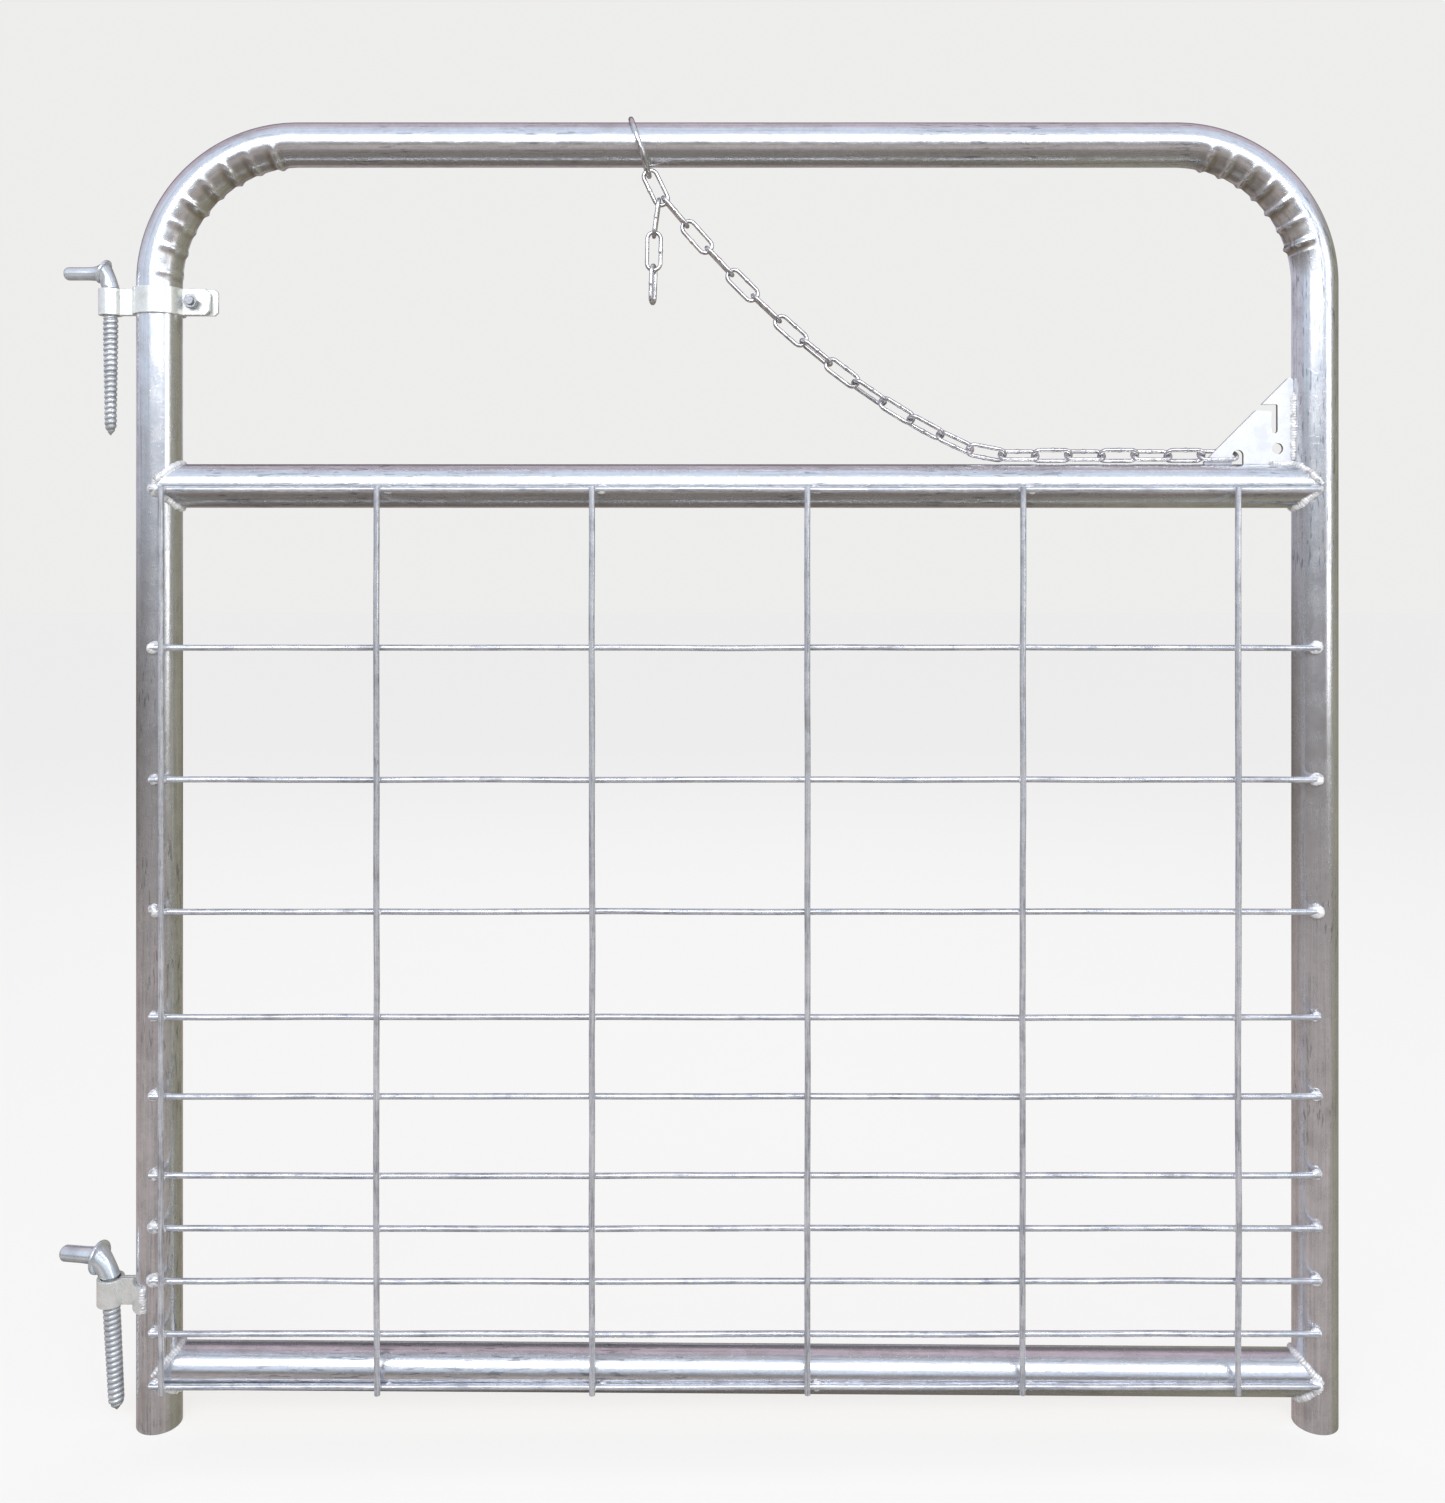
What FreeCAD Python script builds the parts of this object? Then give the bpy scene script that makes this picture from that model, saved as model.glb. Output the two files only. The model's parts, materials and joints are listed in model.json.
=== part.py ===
import FreeCAD, Part
import math
import os

import Sketcher
from FreeCAD import Placement, Rotation, Vector

# A tubular steel garden gate with a bowed top, welded wire infill below its
# mid rail, two hinge eyes with screw hooks, and a latch plate with a chain.
# Millimetres. The origin is on the hinge line, the axis of both hinge eyes, at
# the level of the frame's open ends. +X runs to the latch stile, +Y away from
# the side that carries the wire infill, +Z up.

DIMENSIONS = [
    ("tube_radius", 21.1, "outside radius of the frame tube, 1.66 in across"),
    ("tube_wall", 1.6, "wall of the frame tube"),
    ("hinge_leg_x", 47.3, "hinge stile's axis from the hinge line"),
    ("latch_leg_x", 1161.1, "latch stile's axis from the hinge line"),
    ("bow_height", 1230.7, "centre line of the top of the bow"),
    ("bend_radius", 135.0, "centre line radius of the two top bends"),
    ("mid_rail_height", 902.0, "centre line of the mid rail"),
    ("bottom_rail_left", 55.0, "bottom rail's centre line at the hinge stile"),
    ("bottom_rail_right", 47.8, "bottom rail's centre line at the latch stile"),
    ("weld_gap", 0.05, "gap left between pieces that are welded together"),
    ("wire_radius", 2.85, "radius of the infill wire"),
    ("line_wire_left", 47.5, "left end of the horizontal wires"),
    ("line_wire_right", 1156.0, "right end of the horizontal wires"),
    ("stay_left", 60.5, "first upright wire"),
    ("stay_pitch", 203.2, "8 in between upright wires"),
    ("stay_bottom", 44.0, "lower end of the upright wires"),
    ("stay_top", 900.5, "upper end of the upright wires"),
    ("plate_leg", 88.0, "each short side of the latch plate"),
    ("plate_thickness", 4.0, "latch plate"),
    ("plate_tip_radius", 3.5, "rounded upper tip of the latch plate"),
    ("slot_width", 5.8, "chain slot of the latch plate"),
    ("slot_height", 54.5, "level part of the slot above the rail"),
    ("slot_inset", 18.3, "upright part of the slot from the stile"),
    ("slot_end", 32.5, "lower end of the slot above the rail"),
    ("clip_hole_radius", 5.4, "round hole near the plate's corner"),
    ("clip_hole_inset", 15.5, "that hole from the stile"),
    ("clip_hole_height", 14.8, "that hole above the rail"),
    ("notch_radius", 5.4, "arched notch that the chain goes through"),
    ("notch_inset", 53.6, "notch from the stile"),
    ("notch_height", 8.3, "centre of the notch's arch above the rail"),
    ("strap_width", 25.4, "both hinge straps, up and down"),
    ("strap_thickness", 3.2, "both hinge straps"),
    ("strap_slit", 0.4, "between the two halves of a pinched strap"),
    ("upper_eye_height", 1079.0, "middle of the upper hinge eye"),
    ("upper_eye_radius", 7.9, "bore of the upper hinge eye"),
    ("tail_gap", 3.0, "between the two tails of the upper strap"),
    ("front_tail_end", 97.0, "end of the upper strap's front tail"),
    ("rear_tail_end", 103.0, "end of the upper strap's rear tail"),
    ("lower_eye_height", 127.0, "middle of the lower hinge eye"),
    ("lower_eye_radius", 9.4, "bore of the lower hinge eye"),
    ("lower_tail_end", 38.0, "end of the lower strap's welded tails"),
    ("bolt_x", 80.5, "clamp bolt from the hinge line"),
    ("bolt_radius", 3.95, "5/16 in clamp bolt"),
    ("bolt_hole_radius", 4.3, "bolt hole in the strap's tails"),
    ("nut_flats", 12.7, "across flats of the nut and the bolt's head"),
    ("nut_height", 6.6, "clamp nut"),
    ("bolt_head_height", 5.4, "clamp bolt's head"),
    ("nut_bore_radius", 4.0, "bore of the clamp nut"),
    ("upper_shank", 6.35, "radius of the upper hook, 1/2 in across"),
    ("upper_pin_height", 27.6, "upper hook's pin above its eye's middle"),
    ("upper_pin_reach", 44.0, "upper hook's pin end from its shank's axis"),
    ("upper_drop", 128.1, "upper hook's point below its eye's middle"),
    ("upper_collar", 12.0, "radius of the upper hook's collar"),
    ("upper_shoulder", 15.0, "end of the upper pin's shoulder from its shank's axis"),
    ("upper_flare", 9.5, "radius of the upper hook's seat on its eye"),
    ("lower_shank", 7.5, "radius of the lower hook"),
    ("lower_pin_height", 31.9, "lower hook's pin above its eye's middle"),
    ("lower_pin_reach", 52.5, "lower hook's pin end from its shank's axis"),
    ("lower_drop", 115.4, "lower hook's point below its eye's middle"),
    ("lower_collar", 15.5, "radius of the lower hook's collar"),
    ("lower_shoulder", 18.6, "end of the lower pin's shoulder from its shank's axis"),
    ("lower_flare", 11.2, "radius of the lower hook's seat on its eye"),
    ("collar_thickness", 3.0, "collars of both hooks"),
    ("shoulder_step", 0.5, "a pin's shoulder stands this proud of its pin"),
    ("link_wire", 2.0, "radius of the chain's wire"),
    ("link_bend", 6.5, "centre line radius of a link's ends"),
    ("link_straight", 23.3, "straight side of a link"),
    ("link_pitch", 32.0, "from one link's middle to the next one's"),
    ("ring_wire", 2.5, "radius of the tie ring's rod"),
    ("ring_bend", 25.2, "centre line radius of the tie ring's ends"),
    ("ring_straight", 5.6, "straight side of the tie ring"),
    ("ring_x", 509.7, "middle of the tie ring on the top tube"),
    ("bead_radius", 2.4, "weld beads where tubes cross"),
    ("seam_radius", 2.0, "straight weld beads on the latch plate and the lower eye"),
    ("plate_seam_upright", 66.0, "bead up the latch plate's back edge"),
    ("plate_seam_level", 24.0, "bead along the latch plate's lower edge"),
    ("stile_tack", 5.5, "half the width of a line wire's end tack"),
    ("rail_tack", 5.0, "half the width of a stay's tack on a rail"),
    ("tack_thickness", 6.0, "a tack, front to back"),
]
SIZE = {name: number for name, number, note in DIMENSIONS}

# Spaces between the horizontal wires, from the bottom one up: the mesh is
# graduated, closest at the bottom.
BOTTOM_WIRE = 48.0
WIRE_SPACES = [50, 50, 50, 50, 75, 75, 100, 125, 125, 150]
STAYS = 6

# The chain. Its first link stands in the plate's notch, the next ones lie on
# the mid rail, and from there it climbs in a sagging curve to the tie ring.
PLATE_LINK_X = 1067.5
RUN_HEIGHT = 931.5
LANDING_X = 843.0
MAIN_LINKS = 19
RING_LEAN = 18.0
HANGER_LEAN = 26.0
TOP_LEAN = 37.7
LYING_ROLL = 50.0
TAIL_LEANS = [8.0, 1.0, 2.0]
TAIL_ROLLS = [0.0, 90.0, 15.0]

# Welds: how far each one lies from the corner, wire or edge that it joins.
COPE_SEAM_PROUD = 0.4
TACK_BEHIND_WIRE = 1.5
TACK_BESIDE_STAY = 9.0
TACK_BELOW_STAY_END = 3.0
WELD_SINK = 0.4
PLATE_SEAM_LIFT = 4.0
HINGE_SEAM_PROUD = 1.2
HINGE_SEAM_BEYOND = 1.0

X, Y, Z = Vector(1, 0, 0), Vector(0, 1, 0), Vector(0, 0, 1)

doc = FreeCAD.newDocument("garden_gate")
nodes = []


def make_sheet():
    sheet = doc.addObject("Spreadsheet::Sheet", "dims")
    for row, (name, number, note) in enumerate(DIMENSIONS, start=1):
        sheet.set(f"A{row}", name)
        sheet.set(f"B{row}", str(number))
        sheet.setAlias(f"B{row}", name)
        sheet.set(f"C{row}", note)
    doc.recompute()


def bind(obj, **properties):
    """Tie properties of an object to formulas on the sheet's cells."""
    for name, formula in properties.items():
        obj.setExpression(name, formula)
    return obj


def at(x, y, z, rotation=Rotation()):
    return Placement(Vector(x, y, z), rotation)


def primitive(kind, name, placement, **properties):
    obj = bind(doc.addObject(f"Part::{kind}", name), **properties)
    obj.Placement = placement
    return obj


def fuse(name, pieces):
    obj = doc.addObject("Part::MultiFuse", name)
    obj.Shapes = pieces
    return obj


def cut(name, base, tool):
    obj = doc.addObject("Part::Cut", name)
    obj.Base = base
    obj.Tool = tool
    return obj


def group(name, pieces):
    """Separate solids that share one node."""
    obj = doc.addObject("Part::Compound", name)
    obj.Links = pieces
    return obj


def node(obj, label):
    """Mark an object as a finished sub-part, under the name of its file."""
    obj.Label = label
    nodes.append(obj)
    return obj


def origin_plane(body, role):
    return next(p for p in body.Origin.OriginFeatures if p.Role == role)


def new_sketch(body, name, role):
    sketch = body.newObject("Sketcher::SketchObject", name)
    sketch.AttachmentSupport = (origin_plane(body, role), [""])
    sketch.MapMode = "FlatFace"
    return sketch


def dimension(sketch, name, formula, *constraint):
    """Add a named dimension to a sketch and tie it to the sheet."""
    index = sketch.addConstraint(Sketcher.Constraint(*constraint))
    sketch.renameConstraint(index, name)
    sketch.setExpression(f"Constraints.{name}", formula)


def line(sketch, start, end):
    return sketch.addGeometry(Part.LineSegment(Vector(*start, 0), Vector(*end, 0)))


def arc(sketch, centre, radius, start_degrees, end_degrees):
    circle = Part.Circle(Vector(*centre, 0), Z, radius)
    ends = math.radians(start_degrees), math.radians(end_degrees)
    return sketch.addGeometry(Part.ArcOfCircle(circle, *ends))


# ---------------------------------------------------------------- the frame


def tube_section(sketch, x):
    """The tube's ring section, centred at x on the sketch's own X axis."""
    for name, formula in (
        ("outer", "dims.tube_radius"),
        ("inner", "dims.tube_radius - dims.tube_wall"),
    ):
        radius = SIZE["tube_radius"] - (SIZE["tube_wall"] if name == "inner" else 0)
        index = sketch.addGeometry(Part.Circle(Vector(x, 0, 0), Z, radius))
        sketch.addConstraint(Sketcher.Constraint("PointOnObject", index, 3, -1))
        dimension(sketch, f"{name}_radius", formula, "Radius", index, radius)
        dimension(sketch, f"{name}_x", "dims.hinge_leg_x", "DistanceX", -1, 1, index, 3, x)


def make_bow_frame():
    """Both stiles and the top are one tube with two bends and open ends."""
    left, right = SIZE["hinge_leg_x"], SIZE["latch_leg_x"]
    top, bend = SIZE["bow_height"], SIZE["bend_radius"]
    shoulder = top - bend
    body = doc.addObject("PartDesign::Body", "bow_body")
    path = new_sketch(body, "bow_path", "XZ_Plane")
    line(path, (left, 0), (left, shoulder))
    arc(path, (left + bend, shoulder), bend, 90, 180)
    line(path, (left + bend, top), (right - bend, top))
    arc(path, (right - bend, shoulder), bend, 0, 90)
    line(path, (right, shoulder), (right, 0))
    dimension(path, "left_bend", "dims.bend_radius", "Radius", 1, bend)
    dimension(path, "right_bend", "dims.bend_radius", "Radius", 3, bend)
    for first, first_end, second, second_end in ((0, 2, 1, 2), (1, 1, 2, 1), (2, 2, 3, 2), (3, 1, 4, 1)):
        tangent = Sketcher.Constraint("Tangent", first, first_end, second, second_end)
        path.addConstraint(tangent)
    section = new_sketch(body, "bow_section", "XY_Plane")
    tube_section(section, left)
    doc.recompute()
    pipe = body.newObject("PartDesign::AdditivePipe", "bow_tube")
    pipe.Profile = section
    pipe.Spine = path
    body.Tip = pipe
    return node(body, "bow_frame")


def make_rail(label, left_height, right_height):
    """A straight tube with both ends coped to the stiles."""
    left, right = SIZE["hinge_leg_x"], SIZE["latch_leg_x"]
    run = Vector(right - left, 0, right_height - left_height)
    across = at(left, 0, left_height, Rotation(Z, run))
    length = "dims.latch_leg_x - dims.hinge_leg_x"
    outer = primitive(
        "Cylinder", f"{label}_outer", across, Radius="dims.tube_radius", Height=length
    )
    inner = primitive(
        "Cylinder", f"{label}_inner", across,
        Radius="dims.tube_radius - dims.tube_wall", Height=length,
    )
    copes = [
        primitive(
            "Cylinder", f"{label}_cope_{side}", at(x, 0, left_height - 60),
            Radius="dims.tube_radius + dims.weld_gap", Height="120",
        )
        for side, x in (("left", left), ("right", right))
    ]
    hollow = fuse(f"{label}_hollow", [inner] + copes)
    return node(cut(f"{label}_cut", outer, hollow), label)


# ---------------------------------------------------------- the wire infill


def mesh_plane(layers):
    """Y of a wire's axis: 0 lies on the tubes, 1 in front of those wires."""
    wire = 2 * SIZE["wire_radius"] + SIZE["weld_gap"]
    return -(SIZE["tube_radius"] + wire * (layers + 0.5) + SIZE["weld_gap"])


def make_infill():
    height = BOTTOM_WIRE
    for index, space in enumerate(WIRE_SPACES + [0], start=1):
        wire = primitive(
            "Cylinder", f"wire_{index}",
            at(SIZE["line_wire_left"], mesh_plane(0), height, Rotation(Z, X)),
            Radius="dims.wire_radius", Height="dims.line_wire_right - dims.line_wire_left",
        )
        node(wire, f"line_wire_{index:02d}")
        height += space
    for index in range(STAYS):
        x = SIZE["stay_left"] + index * SIZE["stay_pitch"]
        stay = primitive(
            "Cylinder", f"stay_{index}", at(x, mesh_plane(1), SIZE["stay_bottom"]),
            Radius="dims.wire_radius", Height="dims.stay_top - dims.stay_bottom",
        )
        node(stay, f"stay_wire_{index + 1}")


# ---------------------------------------------------------- the latch plate


def plate_outline(sketch):
    """A right triangle in the corner of rail and stile, its upper tip round."""
    leg, tip = SIZE["plate_leg"], SIZE["plate_tip_radius"]
    reach = tip / math.tan(math.radians(22.5))
    slant = reach / math.sqrt(2)
    toe = 2.0
    line(sketch, (0, 0), (0, leg - reach))
    arc(sketch, (-tip, leg - reach), tip, 0, 135)
    line(sketch, (-slant, leg - slant), (toe - leg, toe))
    line(sketch, (toe - leg, toe), (toe - leg, 0))
    line(sketch, (toe - leg, 0), (0, 0))


def plate_slot(sketch):
    """The slot comes in level from the long side and turns down."""
    half = SIZE["slot_width"] / 2
    x, level, end = -SIZE["slot_inset"], SIZE["slot_height"], SIZE["slot_end"]
    outside, inner, outer = -60.0, 1.8, 1.2
    line(sketch, (outside, level - half), (x - half - inner, level - half))
    arc(sketch, (x - half - inner, level - half - inner), inner, 0, 90)
    line(sketch, (x - half, level - half - inner), (x - half, end))
    arc(sketch, (x, end), half, 180, 360)
    line(sketch, (x + half, end), (x + half, level + half - outer))
    arc(sketch, (x + half - outer, level + half - outer), outer, 0, 90)
    line(sketch, (x + half - outer, level + half), (outside, level + half))
    line(sketch, (outside, level + half), (outside, level - half))


def plate_notch(sketch):
    """An arch cut up from the plate's lower edge, for the chain's last link."""
    x, z, radius = -SIZE["notch_inset"], SIZE["notch_height"], SIZE["notch_radius"]
    below = -2.0
    line(sketch, (x - radius, below), (x + radius, below))
    line(sketch, (x + radius, below), (x + radius, z))
    arc(sketch, (x, z), radius, 0, 180)
    line(sketch, (x - radius, z), (x - radius, below))


def plate_clip_hole(sketch):
    radius = SIZE["clip_hole_radius"]
    x, z = -SIZE["clip_hole_inset"], SIZE["clip_hole_height"]
    sketch.addGeometry(Part.Circle(Vector(x, z, 0), Z, radius))
    dimension(sketch, "hole_radius", "dims.clip_hole_radius", "Radius", 0, radius)
    dimension(sketch, "hole_inset", "-dims.clip_hole_inset", "DistanceX", -1, 1, 0, 3, x)
    dimension(sketch, "hole_height", "dims.clip_hole_height", "DistanceY", -1, 1, 0, 3, z)


def make_latch_plate():
    body = doc.addObject("PartDesign::Body", "plate_body")
    outline = new_sketch(body, "plate_outline", "XZ_Plane")
    plate_outline(outline)
    pad = body.newObject("PartDesign::Pad", "plate_pad")
    pad.Profile = outline
    pad.Midplane = True
    bind(pad, Length="dims.plate_thickness")
    doc.recompute()
    for draw in (plate_slot, plate_notch, plate_clip_hole):
        sketch = new_sketch(body, f"{draw.__name__}_sketch", "XZ_Plane")
        draw(sketch)
        pocket = body.newObject("PartDesign::Pocket", f"{draw.__name__}_pocket")
        pocket.Profile = sketch
        pocket.Midplane = True
        bind(pocket, Length="dims.plate_thickness * 2")
        before = body.Shape.Volume
        doc.recompute()
        if body.Shape.Volume >= before:
            raise RuntimeError(f"{draw.__name__} cut nothing")
    body.Placement = at(*plate_corner())
    return node(body, "latch_plate")


def plate_corner():
    gap = SIZE["weld_gap"]
    x = SIZE["latch_leg_x"] - SIZE["tube_radius"] - gap
    return x, 0, SIZE["mid_rail_height"] + SIZE["tube_radius"] + gap


# ----------------------------------------------------------- the two hinges


def strap_tools(name, eye_radius, height):
    """What both straps have taken out: the eye, the tube and a slit."""
    low = height - SIZE["strap_width"]
    tall = "dims.strap_width * 2"
    bore = primitive("Cylinder", f"{name}_bore", at(0, 0, low), Radius=eye_radius, Height=tall)
    around = primitive(
        "Cylinder", f"{name}_tube", at(SIZE["hinge_leg_x"], 0, low),
        Radius="dims.tube_radius + dims.weld_gap", Height=tall,
    )
    slit = primitive(
        "Box", f"{name}_slit", at(0, -SIZE["strap_slit"] / 2, low),
        Length="dims.hinge_leg_x", Width="dims.strap_slit", Height=tall,
    )
    return [bore, around, slit]


def strap_solid(name, eye_radius, height):
    """What both straps start from: a round eye, a neck and a round wrap."""
    low = height - SIZE["strap_width"] / 2
    tall = "dims.strap_width"
    eye = primitive(
        "Cylinder", f"{name}_eye", at(0, 0, low),
        Radius=f"{eye_radius} + dims.strap_thickness", Height=tall,
    )
    neck = primitive(
        "Box", f"{name}_neck",
        at(0, -SIZE["strap_thickness"] - SIZE["strap_slit"] / 2, low),
        Length="dims.hinge_leg_x - dims.tube_radius",
        Width="2 * dims.strap_thickness + dims.strap_slit", Height=tall,
    )
    wrap = primitive(
        "Cylinder", f"{name}_wrap", at(SIZE["hinge_leg_x"], 0, low),
        Radius="dims.tube_radius + dims.weld_gap + dims.strap_thickness", Height=tall,
    )
    return [eye, neck, wrap]


def corner_clips(name, end, size, front):
    """Wedges that take the two sharp corners off a tail's end."""
    clips = []
    width = 2 * SIZE["strap_thickness"] + 2
    y = -width if front else 0
    for side in (-1, 1):
        z = SIZE["upper_eye_height"] + side * SIZE["strap_width"] / 2
        turned = Rotation(Y, 45)
        side_length = size * math.sqrt(2)
        corner = turned.multVec(Vector(side_length, 0, side_length) * 0.5)
        clip = primitive(
            "Box", f"{name}_clip_{side + 1}",
            at(end - corner.x, y, z - corner.z, turned),
            Length=str(side_length), Width=str(width), Height=str(side_length),
        )
        clips.append(clip)
    return clips


def make_upper_strap():
    """One strap folded round eye and stile, its tails clamped by a bolt."""
    height = SIZE["upper_eye_height"]
    low = height - SIZE["strap_width"] / 2
    inside = SIZE["tail_gap"] / 2
    tails = [
        primitive(
            "Box", f"tail_{name}", at(SIZE["hinge_leg_x"], y, low),
            Length=f"dims.{name}_tail_end - dims.hinge_leg_x",
            Width="dims.strap_thickness", Height="dims.strap_width",
        )
        for name, y in (("front", -inside - SIZE["strap_thickness"]), ("rear", inside))
    ]
    solid = fuse("upper_solid", strap_solid("upper", "dims.upper_eye_radius", height) + tails)
    gap = primitive(
        "Box", "tail_space", at(SIZE["hinge_leg_x"], -inside, low - 5),
        Length="dims.rear_tail_end", Width="dims.tail_gap", Height="dims.strap_width + 10",
    )
    bolt_hole = primitive(
        "Cylinder", "tail_hole", at(SIZE["bolt_x"], 15, height, Rotation(Z, -Y)),
        Radius="dims.bolt_hole_radius", Height="30",
    )
    tools = strap_tools("upper_cut", "dims.upper_eye_radius", height) + [gap, bolt_hole]
    tools += corner_clips("front", SIZE["front_tail_end"], 4.5, True)
    tools += corner_clips("rear", SIZE["rear_tail_end"], 3.0, False)
    return node(cut("upper_strap", solid, fuse("upper_tools", tools)), "upper_hinge_strap")


def make_lower_eye():
    """A short strap round the eye; its tails are welded to the stile."""
    height = SIZE["lower_eye_height"]
    solid = fuse("lower_solid", strap_solid("lower", "dims.lower_eye_radius", height))
    beyond = primitive(
        "Box", "lower_beyond",
        at(SIZE["lower_tail_end"], -40, height - SIZE["strap_width"]),
        Length="60", Width="80", Height="dims.strap_width * 2",
    )
    tools = strap_tools("lower_cut", "dims.lower_eye_radius", height) + [beyond]
    return node(cut("lower_eye", solid, fuse("lower_tools", tools)), "lower_hinge_eye")


def hexagon(name, placement, height):
    obj = doc.addObject("Part::Prism", name)
    obj.Polygon = 6
    bind(obj, Circumradius="dims.nut_flats / sqrt(3)", Height=height)
    obj.Placement = placement
    return obj


def make_clamp():
    """Bolt head behind, nut in front, with the shank's end showing."""
    x, z = SIZE["bolt_x"], SIZE["upper_eye_height"]
    face = SIZE["tail_gap"] / 2 + SIZE["strap_thickness"] + SIZE["weld_gap"]
    forward = Rotation(Z, -Y)
    proud = 3.2
    head = hexagon(
        "bolt_head", at(x, face + SIZE["bolt_head_height"], z, forward), "dims.bolt_head_height"
    )
    shank_length = 2 * face + SIZE["nut_height"] + proud + 1
    shank = primitive(
        "Cylinder", "bolt_shank", at(x, face + 1, z, forward),
        Radius="dims.bolt_radius", Height=str(shank_length),
    )
    node(fuse("bolt", [head, shank]), "clamp_bolt")
    blank = hexagon("nut_blank", at(x, -face, z, forward), "dims.nut_height")
    bore = primitive(
        "Cylinder", "nut_bore", at(x, 0, z, forward), Radius="dims.nut_bore_radius", Height="40"
    )
    node(cut("nut", blank, bore), "clamp_nut")


def make_hook(name, seat, collar_x, collar_height, collar_lean, placement):
    """A screw hook in its eye: thread down, horn and collar above, pin level.

    It is built about its own shank, with the middle of its eye at 0, and the
    placement gives it its height, its lean and its turn.
    """
    shank, flare = f"dims.{name}_shank", f"dims.{name}_flare"
    radius = SIZE[f"{name}_shank"]
    pin_height = SIZE[f"{name}_pin_height"]
    collar = SIZE[f"{name}_collar"]
    point = 2.2 * radius
    bottom = point - SIZE[f"{name}_drop"]
    stem = primitive(
        "Cylinder", f"{name}_stem", at(0, 0, bottom), Radius=shank, Height=str(seat + 4 - bottom)
    )
    tip = primitive(
        "Cone", f"{name}_tip", at(0, 0, -SIZE[f"{name}_drop"]),
        Radius1="0.6", Radius2=shank, Height=str(point),
    )
    leaning = Rotation(Y, -90 + collar_lean)
    base = primitive("Circle", f"{name}_base", at(0, 0, seat), Radius=flare)
    brow = primitive(
        "Circle", f"{name}_brow", at(collar_x, 0, collar_height, leaning),
        Radius=f"dims.{name}_collar * 0.8",
    )
    horn = doc.addObject("Part::Loft", f"{name}_horn")
    horn.Sections = [base, brow]
    horn.Solid = True
    horn.Ruled = True
    disc = primitive(
        "Cylinder", f"{name}_disc", at(collar_x, 0, collar_height, leaning),
        Radius=f"dims.{name}_collar", Height="dims.collar_thickness",
    )
    root = leaning.multVec(Z) * SIZE["collar_thickness"]
    cone = primitive(
        "Cone", f"{name}_cone",
        at(collar_x + root.x, 0, collar_height + root.z, leaning),
        Radius1=f"dims.{name}_collar", Radius2=shank, Height=str(collar * 0.3),
    )
    shoulder = primitive(
        "Cylinder", f"{name}_root", at(collar_x, 0, pin_height, Rotation(Z, -X)),
        Radius=f"{shank} + dims.shoulder_step", Height=f"dims.{name}_shoulder + {collar_x}",
    )
    nose = 0.6 * radius
    pin = primitive(
        "Cylinder", f"{name}_pin", at(collar_x, 0, pin_height, Rotation(Z, -X)),
        Radius=shank, Height=f"dims.{name}_pin_reach - {nose - collar_x}",
    )
    end = primitive(
        "Cone", f"{name}_end",
        at(nose - SIZE[f"{name}_pin_reach"], 0, pin_height, Rotation(Z, -X)),
        Radius1=shank, Radius2=f"{shank} * 0.62", Height=str(nose),
    )
    hook = fuse(f"{name}_hook", [stem, tip, horn, disc, cone, shoulder, pin, end])
    hook.Placement = placement
    return node(hook, f"{name}_screw_hook")


def make_hooks():
    half = SIZE["strap_width"] / 2
    upper = at(0, 0, SIZE["upper_eye_height"])
    make_hook("upper", half + 0.4, -5.2, 29.0, 24.0, upper)
    # The lower hook leans in its eye, point towards the stile, and its pin
    # looks a little to the back.
    turned = Rotation(Y, -3.0) * Rotation(Z, -14.0)
    lower = at(0, 0, SIZE["lower_eye_height"], turned)
    make_hook("lower", half + 1.1, -9.0, 30.4, 6.5, lower)


# ----------------------------------------------------------------- the chain


def oval(name, wire, bend, straight):
    """A closed ring of round rod in the XY plane, its long axis along X.

    The three sizes are formulas on the sheet.
    """
    half = f"({straight}) / 2"
    pieces = []
    for side, turn in ((1, -90), (-1, 90)):
        end = bind(
            doc.addObject("Part::Torus", f"{name}_end_{side + 1}"),
            Radius1=bend, Radius2=wire, Angle3="180",
        )
        end.Placement = Placement(Vector(), Rotation(Z, turn))
        end.setExpression("Placement.Base.x", f"{side} * {half}")
        rod = primitive(
            "Cylinder", f"{name}_rod_{side + 1}", Placement(Vector(), Rotation(Z, X)),
            Radius=wire, Height=straight,
        )
        rod.setExpression("Placement.Base.x", f"-{half}")
        rod.setExpression("Placement.Base.y", f"{side} * ({bend})")
        pieces += [end, rod]
    return fuse(name, pieces)


def make_link(label, centre, along, roll):
    """A link about a centre, with its long axis along a direction in XZ.

    A roll of 0 shows its edge from the front and a roll of 90 its face.
    """
    link = oval(f"{label}_oval", "dims.link_wire", "dims.link_bend", "dims.link_straight")
    pitch_angle = math.degrees(math.atan2(-along.z, along.x))
    link.Placement = Placement(centre, Rotation(Y, pitch_angle) * Rotation(X, roll))
    return node(link, label)


def lean(degrees):
    """A direction that many degrees off straight down, towards +X."""
    angle = math.radians(degrees)
    return Vector(math.sin(angle), 0, -math.cos(angle))


def half_link():
    """From a link's middle to the middle of the wire at its end."""
    return SIZE["link_straight"] / 2 + SIZE["link_bend"]


def climb(slope, span, rise):
    """The climbing curve's points, from the landing, in small steps."""
    steps = 400
    bow = (rise - slope * span) / span**2
    runs = [span * i / steps for i in range(steps + 1)]
    return [Vector(LANDING_X - u, 0, RUN_HEIGHT + slope * u + bow * u * u) for u in runs]


def length_of(points):
    return sum((b - a).Length for a, b in zip(points, points[1:]))


def point_along(points, distance):
    for a, b in zip(points, points[1:]):
        step = (b - a).Length
        if distance <= step:
            return a + (b - a) * (distance / step)
        distance -= step
    return points[-1]


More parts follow.
